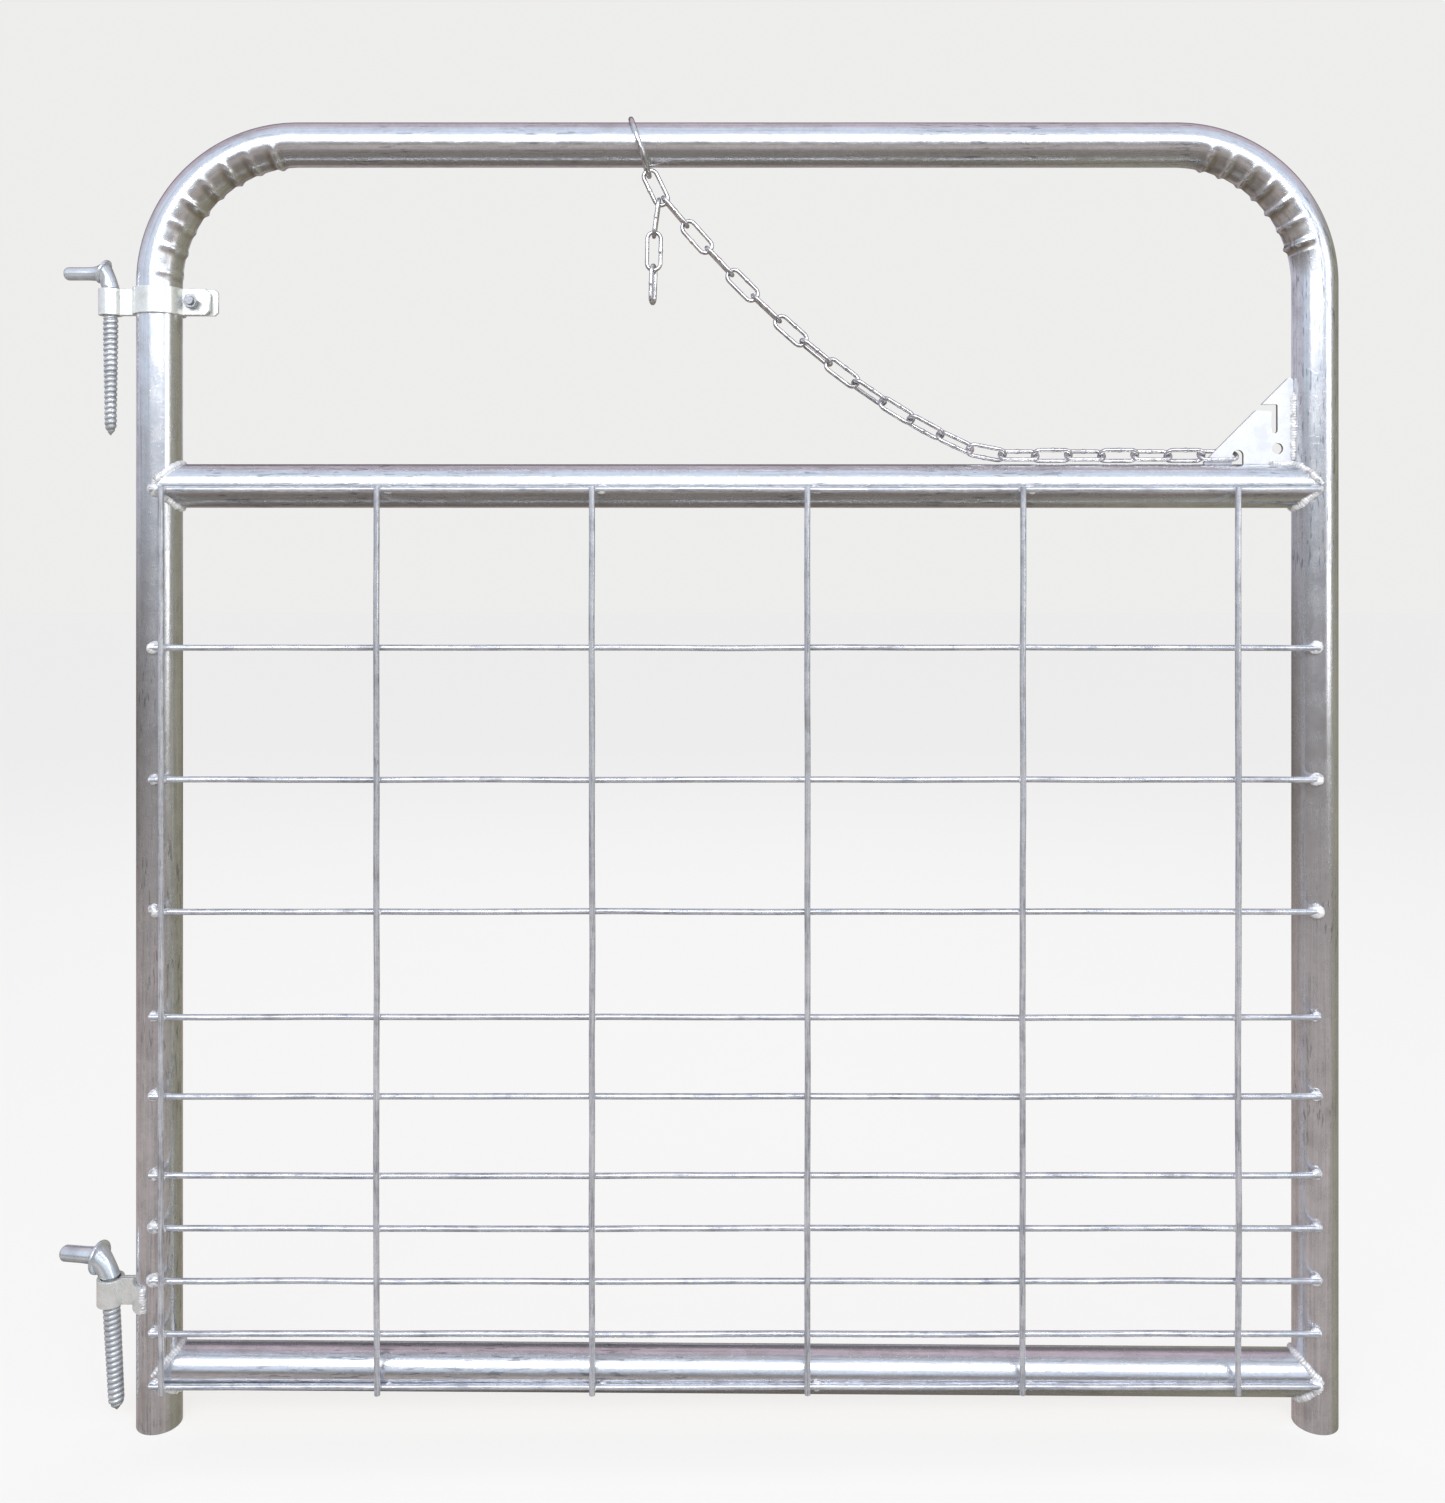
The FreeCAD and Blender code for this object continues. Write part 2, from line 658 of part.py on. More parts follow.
def chain_joints(start, end):
    """Where each link meets the next, from the plate's link to the hanger.

    The slope at which the chain leaves the rail is what makes the curve as
    long as its links.
    """
    span, rise = LANDING_X - end.x, end.z - RUN_HEIGHT
    wanted = MAIN_LINKS * SIZE["link_pitch"] - (start.x - LANDING_X)
    flat, steep = 0.0, 0.7
    for _ in range(50):
        slope = (flat + steep) / 2
        if length_of(climb(slope, span, rise)) > wanted:
            flat = slope
        else:
            steep = slope
    route = [start] + climb(slope, span, rise)
    pitch = length_of(route) / MAIN_LINKS
    return [point_along(route, pitch * i) for i in range(MAIN_LINKS + 1)]


def rolled(index):
    """Links cross at right angles; those on the rail also lie over."""
    start, end = 7, 15
    lying = LYING_ROLL * min(1.0, max(0.0, (end - index) / (end - start)))
    return 90 - lying if index % 2 == 0 else -lying


def make_chain():
    # The tie ring stands round the top tube, leaning towards the latch side.
    tube = Vector(SIZE["ring_x"], 0, SIZE["bow_height"])
    ring = oval("tie_ring", "dims.ring_wire", "dims.ring_bend", "dims.ring_straight")
    hang = lean(RING_LEAN)
    drop = SIZE["ring_straight"] / 2
    ring.Placement = Placement(tube + hang * drop, Rotation(Y, 90 - RING_LEAN))
    node(ring, "chain_tie_ring")
    # The hanger link rests on the ring's lowest point.
    ring_bottom = SIZE["ring_straight"] + SIZE["ring_bend"]
    rest = ring_bottom - SIZE["ring_wire"] - SIZE["link_wire"] - 0.3
    down = lean(HANGER_LEAN)
    hanger = tube + hang * rest + down * half_link()
    make_link("chain_link_20", hanger, down, 90)
    # Two links share the hanger's lower end, side by side.
    across = Vector(-down.z, 0, down.x)
    shared = hanger + down * (SIZE["link_straight"] / 2)
    beside = across * (SIZE["link_wire"] + 0.15)
    overlap = half_link() - SIZE["link_pitch"] / 2
    top_joint = shared + beside + lean(TOP_LEAN) * overlap
    start = Vector(PLATE_LINK_X - SIZE["link_pitch"] / 2, 0, RUN_HEIGHT)
    make_link("plate_link", Vector(PLATE_LINK_X, 0, RUN_HEIGHT), X, rolled(0))
    joints = chain_joints(start, top_joint)
    for index, (a, b) in enumerate(zip(joints, joints[1:]), start=1):
        make_link(f"chain_link_{index:02d}", (a + b) * 0.5, a - b, rolled(index))
    # The tail of three links hangs free.
    joint = shared - beside + lean(-TAIL_LEANS[0]) * overlap
    for index, (angle, roll) in enumerate(zip(TAIL_LEANS, TAIL_ROLLS), start=1):
        down = lean(-angle)
        middle = joint + down * (SIZE["link_pitch"] / 2)
        make_link(f"tail_link_{index}", middle, down, roll)
        joint = joint + down * SIZE["link_pitch"]
    return start, tube + hang * (rest + SIZE["link_wire"])


# ----------------------------------------------------------------- the welds


def cope_bead(name, x, z, side, up):
    """Half of the seam where two equal tubes cross: an ellipse at 45 degrees."""
    reach = SIZE["tube_radius"] + COPE_SEAM_PROUD
    long_axis = Vector(side, 0, up).normalize()
    centre = Vector(x, 0, z)
    tip = centre + long_axis * (reach * math.sqrt(2))
    ellipse = Part.Ellipse(tip, centre + Y * reach, centre)
    half = Part.ArcOfEllipse(ellipse, -math.pi / 2 * 0.97, math.pi / 2 * 0.97)
    spine = Part.Wire([half.toShape()])
    edge = spine.Edges[0]
    begin = edge.valueAt(edge.FirstParameter)
    direction = edge.tangentAt(edge.FirstParameter)
    ring = Part.Wire([Part.Circle(begin, direction, SIZE["bead_radius"]).toShape()])
    bead = doc.addObject("Part::Feature", name)
    bead.Shape = spine.makePipeShell([ring], True, True)
    return bead


def make_frame_welds():
    beads = []
    rails = (
        ("mid", SIZE["mid_rail_height"], SIZE["mid_rail_height"]),
        ("bottom", SIZE["bottom_rail_left"], SIZE["bottom_rail_right"]),
    )
    for rail, left_height, right_height in rails:
        ends = ((SIZE["hinge_leg_x"], left_height, 1), (SIZE["latch_leg_x"], right_height, -1))
        for x, z, side in ends:
            for up in (-1, 1):
                beads.append(cope_bead(f"bead_{rail}_{side + 1}_{up + 1}", x, z, side, up))
    return node(group("frame_beads", beads), "frame_welds")


def tack(name, size, x, y, z):
    """A tack weld: a flat eight-sided lump, facing the front."""
    obj = bind(
        doc.addObject("Part::Prism", name),
        Circumradius=f"dims.{size}", Height="dims.tack_thickness",
    )
    obj.Polygon = 8
    obj.Placement = at(x, y + SIZE["tack_thickness"] / 2, z, Rotation(Z, -Y))
    return obj


def make_mesh_welds():
    """Wire ends tacked to the stiles, and stays tacked to the two rails."""
    lumps = []
    behind = mesh_plane(0) + TACK_BEHIND_WIRE
    high = SIZE["stay_top"] - TACK_BELOW_STAY_END
    height = BOTTOM_WIRE
    for index, space in enumerate(WIRE_SPACES + [0]):
        for side, x in (("left", SIZE["line_wire_left"]), ("right", SIZE["line_wire_right"])):
            lumps.append(tack(f"tack_{side}_{index}", "stile_tack", x, behind, height))
        height += space
    for index in range(1, STAYS - 1):
        x = SIZE["stay_left"] + index * SIZE["stay_pitch"] + TACK_BESIDE_STAY
        lumps.append(tack(f"tack_low_{index}", "rail_tack", x, behind, BOTTOM_WIRE))
        lumps.append(tack(f"tack_high_{index}", "rail_tack", x, behind, high))
    return node(group("mesh_tacks", lumps), "mesh_tack_welds")


def make_plate_weld():
    """Beads on the front of the latch plate's corner: one up, one along."""
    x, _, z = plate_corner()
    y = -(SIZE["plate_thickness"] + WELD_SINK) / 2
    upright = primitive(
        "Cylinder", "plate_bead_upright", at(x + WELD_SINK, y, z + PLATE_SEAM_LIFT),
        Radius="dims.seam_radius", Height="dims.plate_seam_upright",
    )
    level = primitive(
        "Cylinder", "plate_bead_level",
        at(x - SIZE["plate_seam_level"], y, z - WELD_SINK, Rotation(Z, X)),
        Radius="dims.seam_radius", Height="dims.plate_seam_level",
    )
    return node(group("plate_beads", [upright, level]), "latch_plate_weld")


def make_lower_hinge_weld():
    """Beads down the ends of the lower strap's front and rear tails."""
    beads = []
    reach = SIZE["tube_radius"] + HINGE_SEAM_PROUD
    x = SIZE["lower_tail_end"] + HINGE_SEAM_BEYOND
    offset = x - SIZE["hinge_leg_x"]
    y = math.sqrt(reach**2 - offset**2)
    low = SIZE["lower_eye_height"] - SIZE["strap_width"] / 2
    for name, side in (("front", -1), ("rear", 1)):
        beads.append(
            primitive(
                "Cylinder", f"hinge_bead_{name}", at(x, side * y, low),
                Radius="dims.seam_radius", Height="dims.strap_width",
            )
        )
    return node(group("hinge_beads", beads), "lower_hinge_weld")


# ------------------------------------------------------------------ building


def check_and_write():
    doc.recompute()
    for obj in doc.Objects:
        if "Invalid" in obj.State or "Error" in obj.State:
            raise RuntimeError(f"{obj.Name} did not compute: {obj.State}")
    for obj in nodes:
        if obj.Shape.isNull() or not obj.Shape.isValid():
            raise RuntimeError(f"{obj.Label} has no valid shape")
    os.makedirs("parts", exist_ok=True)
    for obj in nodes:
        obj.Shape.exportStep(f"parts/{obj.Label}.step")


make_sheet()
make_bow_frame()
make_rail("mid_rail", SIZE["mid_rail_height"], SIZE["mid_rail_height"])
make_rail("bottom_rail", SIZE["bottom_rail_left"], SIZE["bottom_rail_right"])
make_infill()
make_latch_plate()
make_upper_strap()
make_lower_eye()
make_clamp()
make_hooks()
chain_low, chain_high = make_chain()
make_frame_welds()
make_mesh_welds()
make_plate_weld()
make_lower_hinge_weld()
check_and_write()
print(len(nodes), "sub-parts; the chain swings between", chain_low, "and", chain_high)
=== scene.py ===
"""Looks of a galvanised garden gate: tube frame, welded wire, latch chain and hooks.

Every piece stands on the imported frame.  Lengths are in metres, X runs from the
hinge line to the latch side, Y to the back and Z up.
"""

from __future__ import annotations

import json
import logging
import math
from dataclasses import dataclass, field
from enum import Enum
from typing import Callable, Iterable, Sequence, Union

import bmesh
import bpy
import numpy as np
from mathutils import Matrix, Vector


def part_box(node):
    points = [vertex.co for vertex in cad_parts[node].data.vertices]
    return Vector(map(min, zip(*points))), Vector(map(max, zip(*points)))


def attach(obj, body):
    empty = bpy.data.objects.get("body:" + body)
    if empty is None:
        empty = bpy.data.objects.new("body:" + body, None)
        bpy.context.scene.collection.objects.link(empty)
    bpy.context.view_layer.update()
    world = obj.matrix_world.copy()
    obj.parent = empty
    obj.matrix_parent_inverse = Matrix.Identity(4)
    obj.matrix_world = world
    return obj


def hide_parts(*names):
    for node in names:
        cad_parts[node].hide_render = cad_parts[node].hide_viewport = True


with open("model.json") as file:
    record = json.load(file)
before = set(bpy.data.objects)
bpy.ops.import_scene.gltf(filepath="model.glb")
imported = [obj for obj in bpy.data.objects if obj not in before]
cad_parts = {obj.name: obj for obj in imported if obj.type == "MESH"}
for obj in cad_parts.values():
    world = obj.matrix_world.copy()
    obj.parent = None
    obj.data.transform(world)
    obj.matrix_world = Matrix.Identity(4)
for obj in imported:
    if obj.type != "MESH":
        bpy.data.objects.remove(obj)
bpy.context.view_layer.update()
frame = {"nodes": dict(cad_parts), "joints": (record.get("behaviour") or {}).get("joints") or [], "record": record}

MM = 0.001
LINE_WIRES = 11
STAY_WIRES = 6
CHAIN_LINKS = 20
TAIL_LINKS = 3

# How far two faces turn before the edge between them shades as sharp.
PIPE_SHARP = math.radians(55)
PRESSED_SHARP = math.radians(18)
FORGED_SHARP = math.radians(50)

# How far apart the streaks of two strands of one piece start.
STRAND_SHIFT = 3.7

logging.basicConfig(level=logging.INFO, format="%(levelname)s %(message)s")
log = logging.getLogger("gate")

Socket = bpy.types.NodeSocket
Tree = bpy.types.NodeTree
Material = bpy.types.Material
Piece = bpy.types.Object
Colour = tuple[float, float, float]
Value = Union["Number", Socket, float, int, bool, str, tuple]


class Slot(Enum):
    """The record's material slots."""

    TUBE = "galvanised_tube"
    WIRE = "galvanised_wire"
    PLATE = "galvanised_plate"
    STRAP = "galvanised_strap"
    FASTENER = "zinc_plated_fastener"
    HOOK = "zinc_plated_hook"
    CHAIN = "zinc_plated_chain"
    WELD = "weld_metal"


# Node trees.


def arithmetic(operation: str, turned: bool = False) -> Callable[[Number, Value], Number]:
    """An operator that adds one math node, with the other value first if turned."""
    if turned:
        return lambda number, other: number.graph.math(operation, other, number)
    return lambda number, other: number.graph.math(operation, number, other)


def live(sockets: Iterable[Socket]) -> Socket:
    """The first socket that a node's settings leave in use."""
    return next(socket for socket in sockets if socket.enabled)


@dataclass
class Number:
    """A number socket, so that a formula on sockets reads as a formula."""

    graph: Graph
    socket: Socket

    __add__ = arithmetic("ADD")
    __radd__ = arithmetic("ADD", turned=True)
    __sub__ = arithmetic("SUBTRACT")
    __rsub__ = arithmetic("SUBTRACT", turned=True)
    __mul__ = arithmetic("MULTIPLY")
    __rmul__ = arithmetic("MULTIPLY", turned=True)
    __truediv__ = arithmetic("DIVIDE")


@dataclass
class Graph:
    """A node tree under construction, for a shape or for a finish."""

    tree: Tree

    def feed(self, socket: Socket, value: Value) -> None:
        """Links a socket into another, or sets its plain value.

        Args:
            socket: The input to feed.
            value: A number, an output socket or a plain value.
        """
        if isinstance(value, Number):
            value = value.socket
        if isinstance(value, Socket):
            self.tree.links.new(value, socket)
        else:
            socket.default_value = value

    def add(self, kind: str, settings: dict | None = None, **values: Value) -> bpy.types.Node:
        """Adds a node.

        Args:
            kind: The node's type.
            settings: Its properties.
            **values: What its inputs get, by name, with _ for a space.

        Returns:
            The new node.
        """
        node = self.tree.nodes.new(kind)
        for key, value in (settings or {}).items():
            setattr(node, key, value)
        for key, value in values.items():
            name = key.replace("_", " ")
            self.feed(live(socket for socket in node.inputs if socket.name == name), value)
        return node

    def math(self, operation: str, *values: Value) -> Number:
        """A math node on up to three numbers, as a number."""
        node = self.add("ShaderNodeMath", {"operation": operation})
        for socket, value in zip(node.inputs, values):
            self.feed(socket, value)
        return Number(self, node.outputs[0])

    def vector(self, x: Value, y: Value, z: Value) -> Socket:
        """Three numbers as a vector socket."""
        return self.add("ShaderNodeCombineXYZ", X=x, Y=y, Z=z).outputs[0]

    def parts(self, vector: Socket) -> list[Number]:
        """A vector socket's three numbers."""
        node = self.add("ShaderNodeSeparateXYZ", Vector=vector)
        return [Number(self, out) for out in node.outputs]

    def scaled(self, vector: Socket, factor: Value) -> Socket:
        """A vector socket times a number."""
        node = self.add("ShaderNodeVectorMath", {"operation": "SCALE"}, Scale=factor)
        self.feed(node.inputs[0], vector)
        return node.outputs[0]

    def ramp(self, value: Value, low: Value, high: Value, start: Value = 0, end: Value = 1) -> Number:
        """A number carried smoothly from one range to another, and held at its ends.

        Args:
            value: The number.
            low: Where the ramp begins.
            high: Where it ends.
            start: The result at low and below.
            end: The result at high and above.

        Returns:
            The result.
        """
        node = self.add("ShaderNodeMapRange", {"interpolation_type": "SMOOTHSTEP"})
        for socket, number in zip(node.inputs, (value, low, high, start, end)):
            self.feed(socket, number)
        return Number(self, node.outputs[0])

    def noise(self, vector: Socket, scale: float, detail: float = 2.0) -> Number:
        """Smooth noise at a vector, 0 to 1."""
        node = self.add("ShaderNodeTexNoise", Vector=vector, Scale=scale, Detail=detail)
        return Number(self, node.outputs[0])

    def bell(self, distance: Number, width: Value) -> Number:
        """A bump that is 1 at no distance and falls away over a width."""
        return self.math("POWER", math.e, self.math("POWER", distance / width, 2.0) * -1.0)

    def blend(self, share: Value, first: Value, second: Value) -> Socket:
        """Mixes two colours.

        Args:
            share: How much of the second, 0 to 1.
            first: One colour, plain or a socket.
            second: The other colour.

        Returns:
            The mixed colour's socket.
        """
        first, second = ((*c, 1.0) if isinstance(c, tuple) else c for c in (first, second))
        node = self.add("ShaderNodeMix", {"data_type": "RGBA"}, Factor=share, A=first, B=second)
        return live(node.outputs)


class ShapeGraph(Graph):
    """A Geometry Nodes tree that ends in plain, painted geometry."""

    def __init__(self, name: str, *sizes: str) -> None:
        """Makes the tree.

        Args:
            name: The tree's name.
            *sizes: The names of its number inputs.
        """
        super().__init__(bpy.data.node_groups.new(name, "GeometryNodeTree"))
        face = self.tree.interface
        inputs = [("Geometry", "Geometry"), *((size, "Float") for size in sizes), ("Finish", "Material")]
        for label, kind in inputs:
            face.new_socket(name=label, in_out="INPUT", socket_type=f"NodeSocket{kind}")
        face.new_socket(name="Geometry", in_out="OUTPUT", socket_type="NodeSocketGeometry")
        self.entry = self.tree.nodes.new("NodeGroupInput")
        self.geometry = self.entry.outputs["Geometry"]
        self.position = self.shape("InputPosition")

    def sizes(self) -> list[Number]:
        """The tree's number inputs, in order."""
        return [Number(self, out) for out in self.entry.outputs if out.type == "VALUE"]

    def shape(self, kind: str, settings: dict | None = None, **values: Value) -> Socket:
        """Adds a geometry node and gives its first output."""
        return self.add(f"GeometryNode{kind}", settings, **values).outputs[0]

    def store(self, geometry: Socket, name: str, value: Value, kind: str = "FLOAT") -> Socket:
        """Stores a named value on the points of a geometry.

        Args:
            geometry: The geometry.
            name: The attribute's name.
            value: What it holds.
            kind: The attribute's type.

        Returns:
            The geometry with the attribute.
        """
        settings = {"data_type": kind, "domain": "POINT"}
        values = {"Geometry": geometry, "Name": name, "Value": value}
        return self.shape("StoreNamedAttribute", settings, **values)

    def recall(self, name: str, kind: str = "FLOAT_VECTOR") -> Socket:
        """A value stored before, by its name."""
        return self.shape("InputNamedAttribute", {"data_type": kind}, Name=name)

    def number(self, name: str) -> Number:
        """A number stored before, by its name."""
        return Number(self, self.recall(name, "FLOAT"))

    def mark_share(self, path: Socket) -> Socket:
        """Stores each point's place along a path, 0 to 1."""
        return self.store(path, "share", self.add("GeometryNodeSplineParameter").outputs["Factor"])

    def resample(self, path: Socket, step: Value) -> Socket:
        """A path with a point at every step."""
        settings = {"mode": "LENGTH"}
        return self.shape("ResampleCurve", settings, Curve=path, Length=step)

    def sway(self, path: Socket, scale: float, reach: Value, depth: float = 1.0) -> Socket:
        """Moves a path's points off it by smooth noise.

        Args:
            path: The curve.
            scale: How fast the noise changes.
            reach: The noise's whole span.
            depth: The share of it from front to back.

        Returns:
            The moved curve.
        """
        noise = self.add("ShaderNodeTexNoise", Vector=self.position, Scale=scale, Detail=1.0)
        x, y, z = (part - 0.5 for part in self.parts(noise.outputs[1]))
        offset = self.vector(x * reach, y * reach * depth, z * reach)
        return self.shape("SetPosition", Geometry=path, Offset=offset)

    def sweep(self, path: Socket, radius: Value, sides: int, caps: bool) -> Socket:
        """A round rod along a path, which knows its own length and girth.

        Args:
            path: The curve to follow.
            radius: The rod's radius.
            sides: Faces round the rod.
            caps: Whether its ends are closed.

        Returns:
            The rod, with its place along and round it stored as grain.
        """
        place = self.add("GeometryNodeSplineParameter").outputs["Length"]
        which = self.add("GeometryNodeCurveOfPoint").outputs["Curve Index"]
        spread = Number(self, place) + STRAND_SHIFT * Number(self, which)
        path = self.store(path, "along", spread)
        circle = self.shape("CurvePrimitiveCircle", Resolution=sides, Radius=radius)
        ring = self.store(circle, "ring", self.position, "FLOAT_VECTOR")
        rod = self.shape("CurveToMesh", Curve=path, Profile_Curve=ring, Fill_Caps=caps)
        x, y, _ = self.parts(self.recall("ring"))
        grain = self.vector(self.number("along"), x, y)
        return self.store(rod, "grain", grain, "FLOAT_VECTOR")

    def move(self, geometry: Socket, distance: Value) -> Socket:
        """Moves a surface along its own normal."""
        offset = self.scaled(self.shape("InputNormal"), distance)
        return self.shape("SetPosition", Geometry=geometry, Offset=offset)

    def end(self, geometry: Socket) -> Tree:
        """Closes the tree: realized, smooth and painted.

        Args:
            geometry: The shape.

        Returns:
            The finished tree.
        """
        plain = self.shape("RealizeInstances", Geometry=geometry)
        smooth = self.shape("SetShadeSmooth", Geometry=plain)
        finish = self.entry.outputs["Finish"]
        painted = self.shape("SetMaterial", Geometry=smooth, Material=finish)
        leave = self.tree.nodes.new("NodeGroupOutput")
        self.tree.links.new(painted, leave.inputs[0])
        return self.tree


# Helpers.


def new_object(name: str, data: bpy.types.ID) -> Piece:
    """A new object in the scene, at the origin."""
    obj = bpy.data.objects.new(name, data)
    bpy.context.scene.collection.objects.link(obj)
    return obj


def paths(runs: Iterable[Sequence[Vector]]) -> Piece:
    """A curve object with one straight-sided spline for each run of points."""
    curve = bpy.data.curves.new("paths", "CURVE")
    curve.dimensions = "3D"
    for run in runs:
        spline = curve.splines.new("POLY")
        spline.points.add(len(run) - 1)
        for point, place in zip(spline.points, run):
            point.co = (*place, 1.0)
    return new_object("paths", curve)


def spots(places: Sequence[Vector], **attributes: Sequence) -> Piece:
    """A mesh object of loose points.

    Args:
        places: Where they are.
        **attributes: Named vectors, one for each point.

    Returns:
        The object.
    """
    mesh = bpy.data.meshes.new("spots")
    mesh.from_pydata([tuple(p) for p in places], [], [])
    for name, values in attributes.items():
        layer = mesh.attributes.new(name, "FLOAT_VECTOR", "POINT")
        layer.data.foreach_set("vector", np.array([tuple(v) for v in values], np.float32).ravel())
    return new_object("spots", mesh)


def settle(name: str, base: Piece) -> Piece:
    """Turns an object and its live modifiers into a plain mesh object.

    Args:
        name: The new object's name.
        base: The object to use up.

    Returns:
        The plain object.
    """
    seen = base.evaluated_get(bpy.context.evaluated_depsgraph_get())
    mesh = bpy.data.meshes.new_from_object(seen)
    mesh.name = name
    bpy.data.objects.remove(base)
    return new_object(name, mesh)


def grow(
    name: str, base: Piece, tree: Tree, finish: Material, wall: float = 0.0, **sizes: float
) -> Piece:
    """Runs a shape tree on an object and keeps the result as a plain mesh.

    Args:
        name: The piece's name.
        base: The curve or points that the tree starts from.
        tree: The shape tree.
        finish: The material.
        wall: The wall's thickness of a hollow piece, or 0.
        **sizes: The tree's named inputs.

    Returns:
        The piece.
    """
    hidden = base.modifiers.new("shape", "NODES")
    hidden.node_group = tree
    inputs = (item for item in tree.interface.items_tree if item.in_out == "INPUT")
    sockets = {item.name: item.identifier for item in inputs}
    for key, value in sizes.items():
        hidden[sockets[key]] = float(value)
    hidden[sockets["Finish"]] = finish
    if wall:
        shell = base.modifiers.new("wall", "SOLIDIFY")
        shell.thickness = wall
        shell.offset = -1.0
    piece = settle(name, base)
    if wall:
        piece.data.set_sharp_from_angle(angle=PIPE_SHARP)
    return piece


def hand_over(piece: Piece, body: str, slot: Slot, *nodes: str) -> None:
    """Puts a finished piece in the frame and logs it.

    Args:
        piece: The piece.
        body: The body that it rides on.
        slot: The material slot it is finished in; not used.
        *nodes: The frame's nodes that it stands for.
    """
    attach(piece, body)
    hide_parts(*nodes)
    log.info("%s: %d faces on %s", piece.name, len(piece.data.polygons), body)


def middle(node: str) -> Vector:
    """The middle of a frame node's box."""
    low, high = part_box(node)
    return (low + high) / 2


# Finishes.


SPANGLE_SCALE = 260.0
SPECK_SCALE = 1400.0
PIT_SCALE = 650.0
CLOUD_RATIO = 7.0
DASH_LENGTH = 55.0
DASH_WIDTH = 420.0
SPECK_COLOUR = (0.2, 0.19, 0.18)
DASH_COLOUR = (0.24, 0.26, 0.3)


@dataclass(frozen=True)
class ZincFinish:
    """A zinc coat on steel: streaks, spangle, blotches and stains, plus painted shade in grooves and dark seam
    lines in the same colour as the stains.
    """

    name: str
    light: Colour
    dark: Colour
    # The colour of stains, also used for the painted shade in grooves and for dark seam lines.
    stain_and_shade: Colour
    along_piece: bool = False
    streak_length: float = 9.0
    streak_width: float = 420.0
    blotches: float = 45.0
    stain_share: float = 0.35
    speckle: float = 0.25
    dashes: float = 0.0
    metallic: float = 0.75
    smooth: float = 0.22
    rough: float = 0.48
    relief: float = 0.08 * MM
    # How far the painted shade in grooves and the dark seam lines go towards the stains' colour.
    shade_and_seam_dark: float = 0.75

    def material(self) -> Material:
        """The finish as a material."""
        made = bpy.data.materials.new(self.name)
        made.use_nodes = True
        made.node_tree.nodes.clear()
        g = Graph(made.node_tree)
        place = g.add("ShaderNodeTexCoord").outputs["Object"]
        flow = place
        if self.along_piece:
            flow = g.add("ShaderNodeAttribute", {"attribute_name": "grain"}).outputs["Vector"]
        along, across, around = g.parts(flow)
        run = g.vector(self.streak_length * along, self.streak_width * across, self.streak_width * around)
        streaks = g.noise(run, 1.0, 3.0)
        blotch = g.noise(place, self.blotches, 4.0)
        cloud = g.noise(place, self.blotches / CLOUD_RATIO)
        spangle = g.add("ShaderNodeTexVoronoi", Vector=place, Scale=SPANGLE_SCALE)
        crystal = Number(g, g.add("ShaderNodeRGBToBW", Color=spangle.outputs["Color"]).outputs[0])
        shade_and_seam = Number(g, g.add("ShaderNodeAttribute", {"attribute_name": "shade_and_seam"}).outputs["Fac"])

        shade = g.ramp(0.5 * streaks + 0.3 * blotch + 0.2 * cloud + 0.08 * crystal, 0.36, 0.7)
        stained = g.ramp(blotch * 0.55 + streaks * 0.45, 0.52, 0.68) * self.stain_share
        specks = g.ramp(g.noise(place, SPECK_SCALE, 1.0), 0.66, 0.74)
        thin = g.noise(g.vector(along * DASH_LENGTH, across * DASH_WIDTH, around * DASH_WIDTH), 1.0)
        dash = g.ramp(thin, 0.6, 0.64) * g.ramp(cloud, 0.46, 0.58)
        coat = g.blend(shade, self.light, self.dark)
        # The stains' colour also paints shade where a piece marks its grooves, and its dark seam lines.
        for share, colour in (
            (stained + self.shade_and_seam_dark * shade_and_seam, self.stain_and_shade),
            (specks * self.speckle, SPECK_COLOUR),
            (dash * self.dashes, DASH_COLOUR),
        ):
            coat = g.blend(share, coat, colour)

        height = 0.5 * streaks + 0.35 * crystal + 0.5 * g.noise(place, PIT_SCALE, 3.0)
        bump = g.add("ShaderNodeBump", Height=height, Distance=self.relief, Strength=0.8)
        rough = g.ramp(0.6 * blotch + 0.4 * streaks, 0.3, 0.7, self.smooth, self.rough) + 0.2 * shade_and_seam
        looks = {"Base_Color": coat, "Metallic": self.metallic, "Roughness": rough}
        shader = g.add("ShaderNodeBsdfPrincipled", Normal=bump.outputs[0], **looks)
        g.add("ShaderNodeOutputMaterial", Surface=shader.outputs[0])
        return made


GALVANISED_TUBE = ZincFinish(
    "galvanised_tube_coat", (0.88, 0.9, 0.94), (0.66, 0.67, 0.7), (0.4, 0.36, 0.3),
    along_piece=True, metallic=0.9, smooth=0.18, rough=0.32, stain_share=0.25, dashes=0.6, shade_and_seam_dark=1.0,
)
GALVANISED_WIRE = ZincFinish(
    "galvanised_wire_coat", (0.8, 0.82, 0.86), (0.42, 0.44, 0.49), (0.3, 0.27, 0.24),
    along_piece=True, streak_length=30.0, streak_width=900.0, blotches=70.0,
    metallic=0.6, smooth=0.2, rough=0.4, stain_share=0.5, dashes=0.6,
)
GALVANISED_PLATE = ZincFinish(
    "galvanised_plate_coat", (0.8, 0.81, 0.83), (0.66, 0.68, 0.73), (0.16, 0.14, 0.13),
    streak_length=60.0, streak_width=60.0, blotches=60.0,
    stain_share=0.04, speckle=0.6, metallic=0.3, smooth=0.32, rough=0.5,
)
GALVANISED_STRAP = ZincFinish(
    "galvanised_strap_coat", (0.84, 0.84, 0.81), (0.68, 0.71, 0.69), (0.52, 0.47, 0.36),
    streak_length=50.0, streak_width=80.0, blotches=90.0,
    stain_share=0.3, metallic=0.55, smooth=0.2, rough=0.36, relief=0.03 * MM,
)
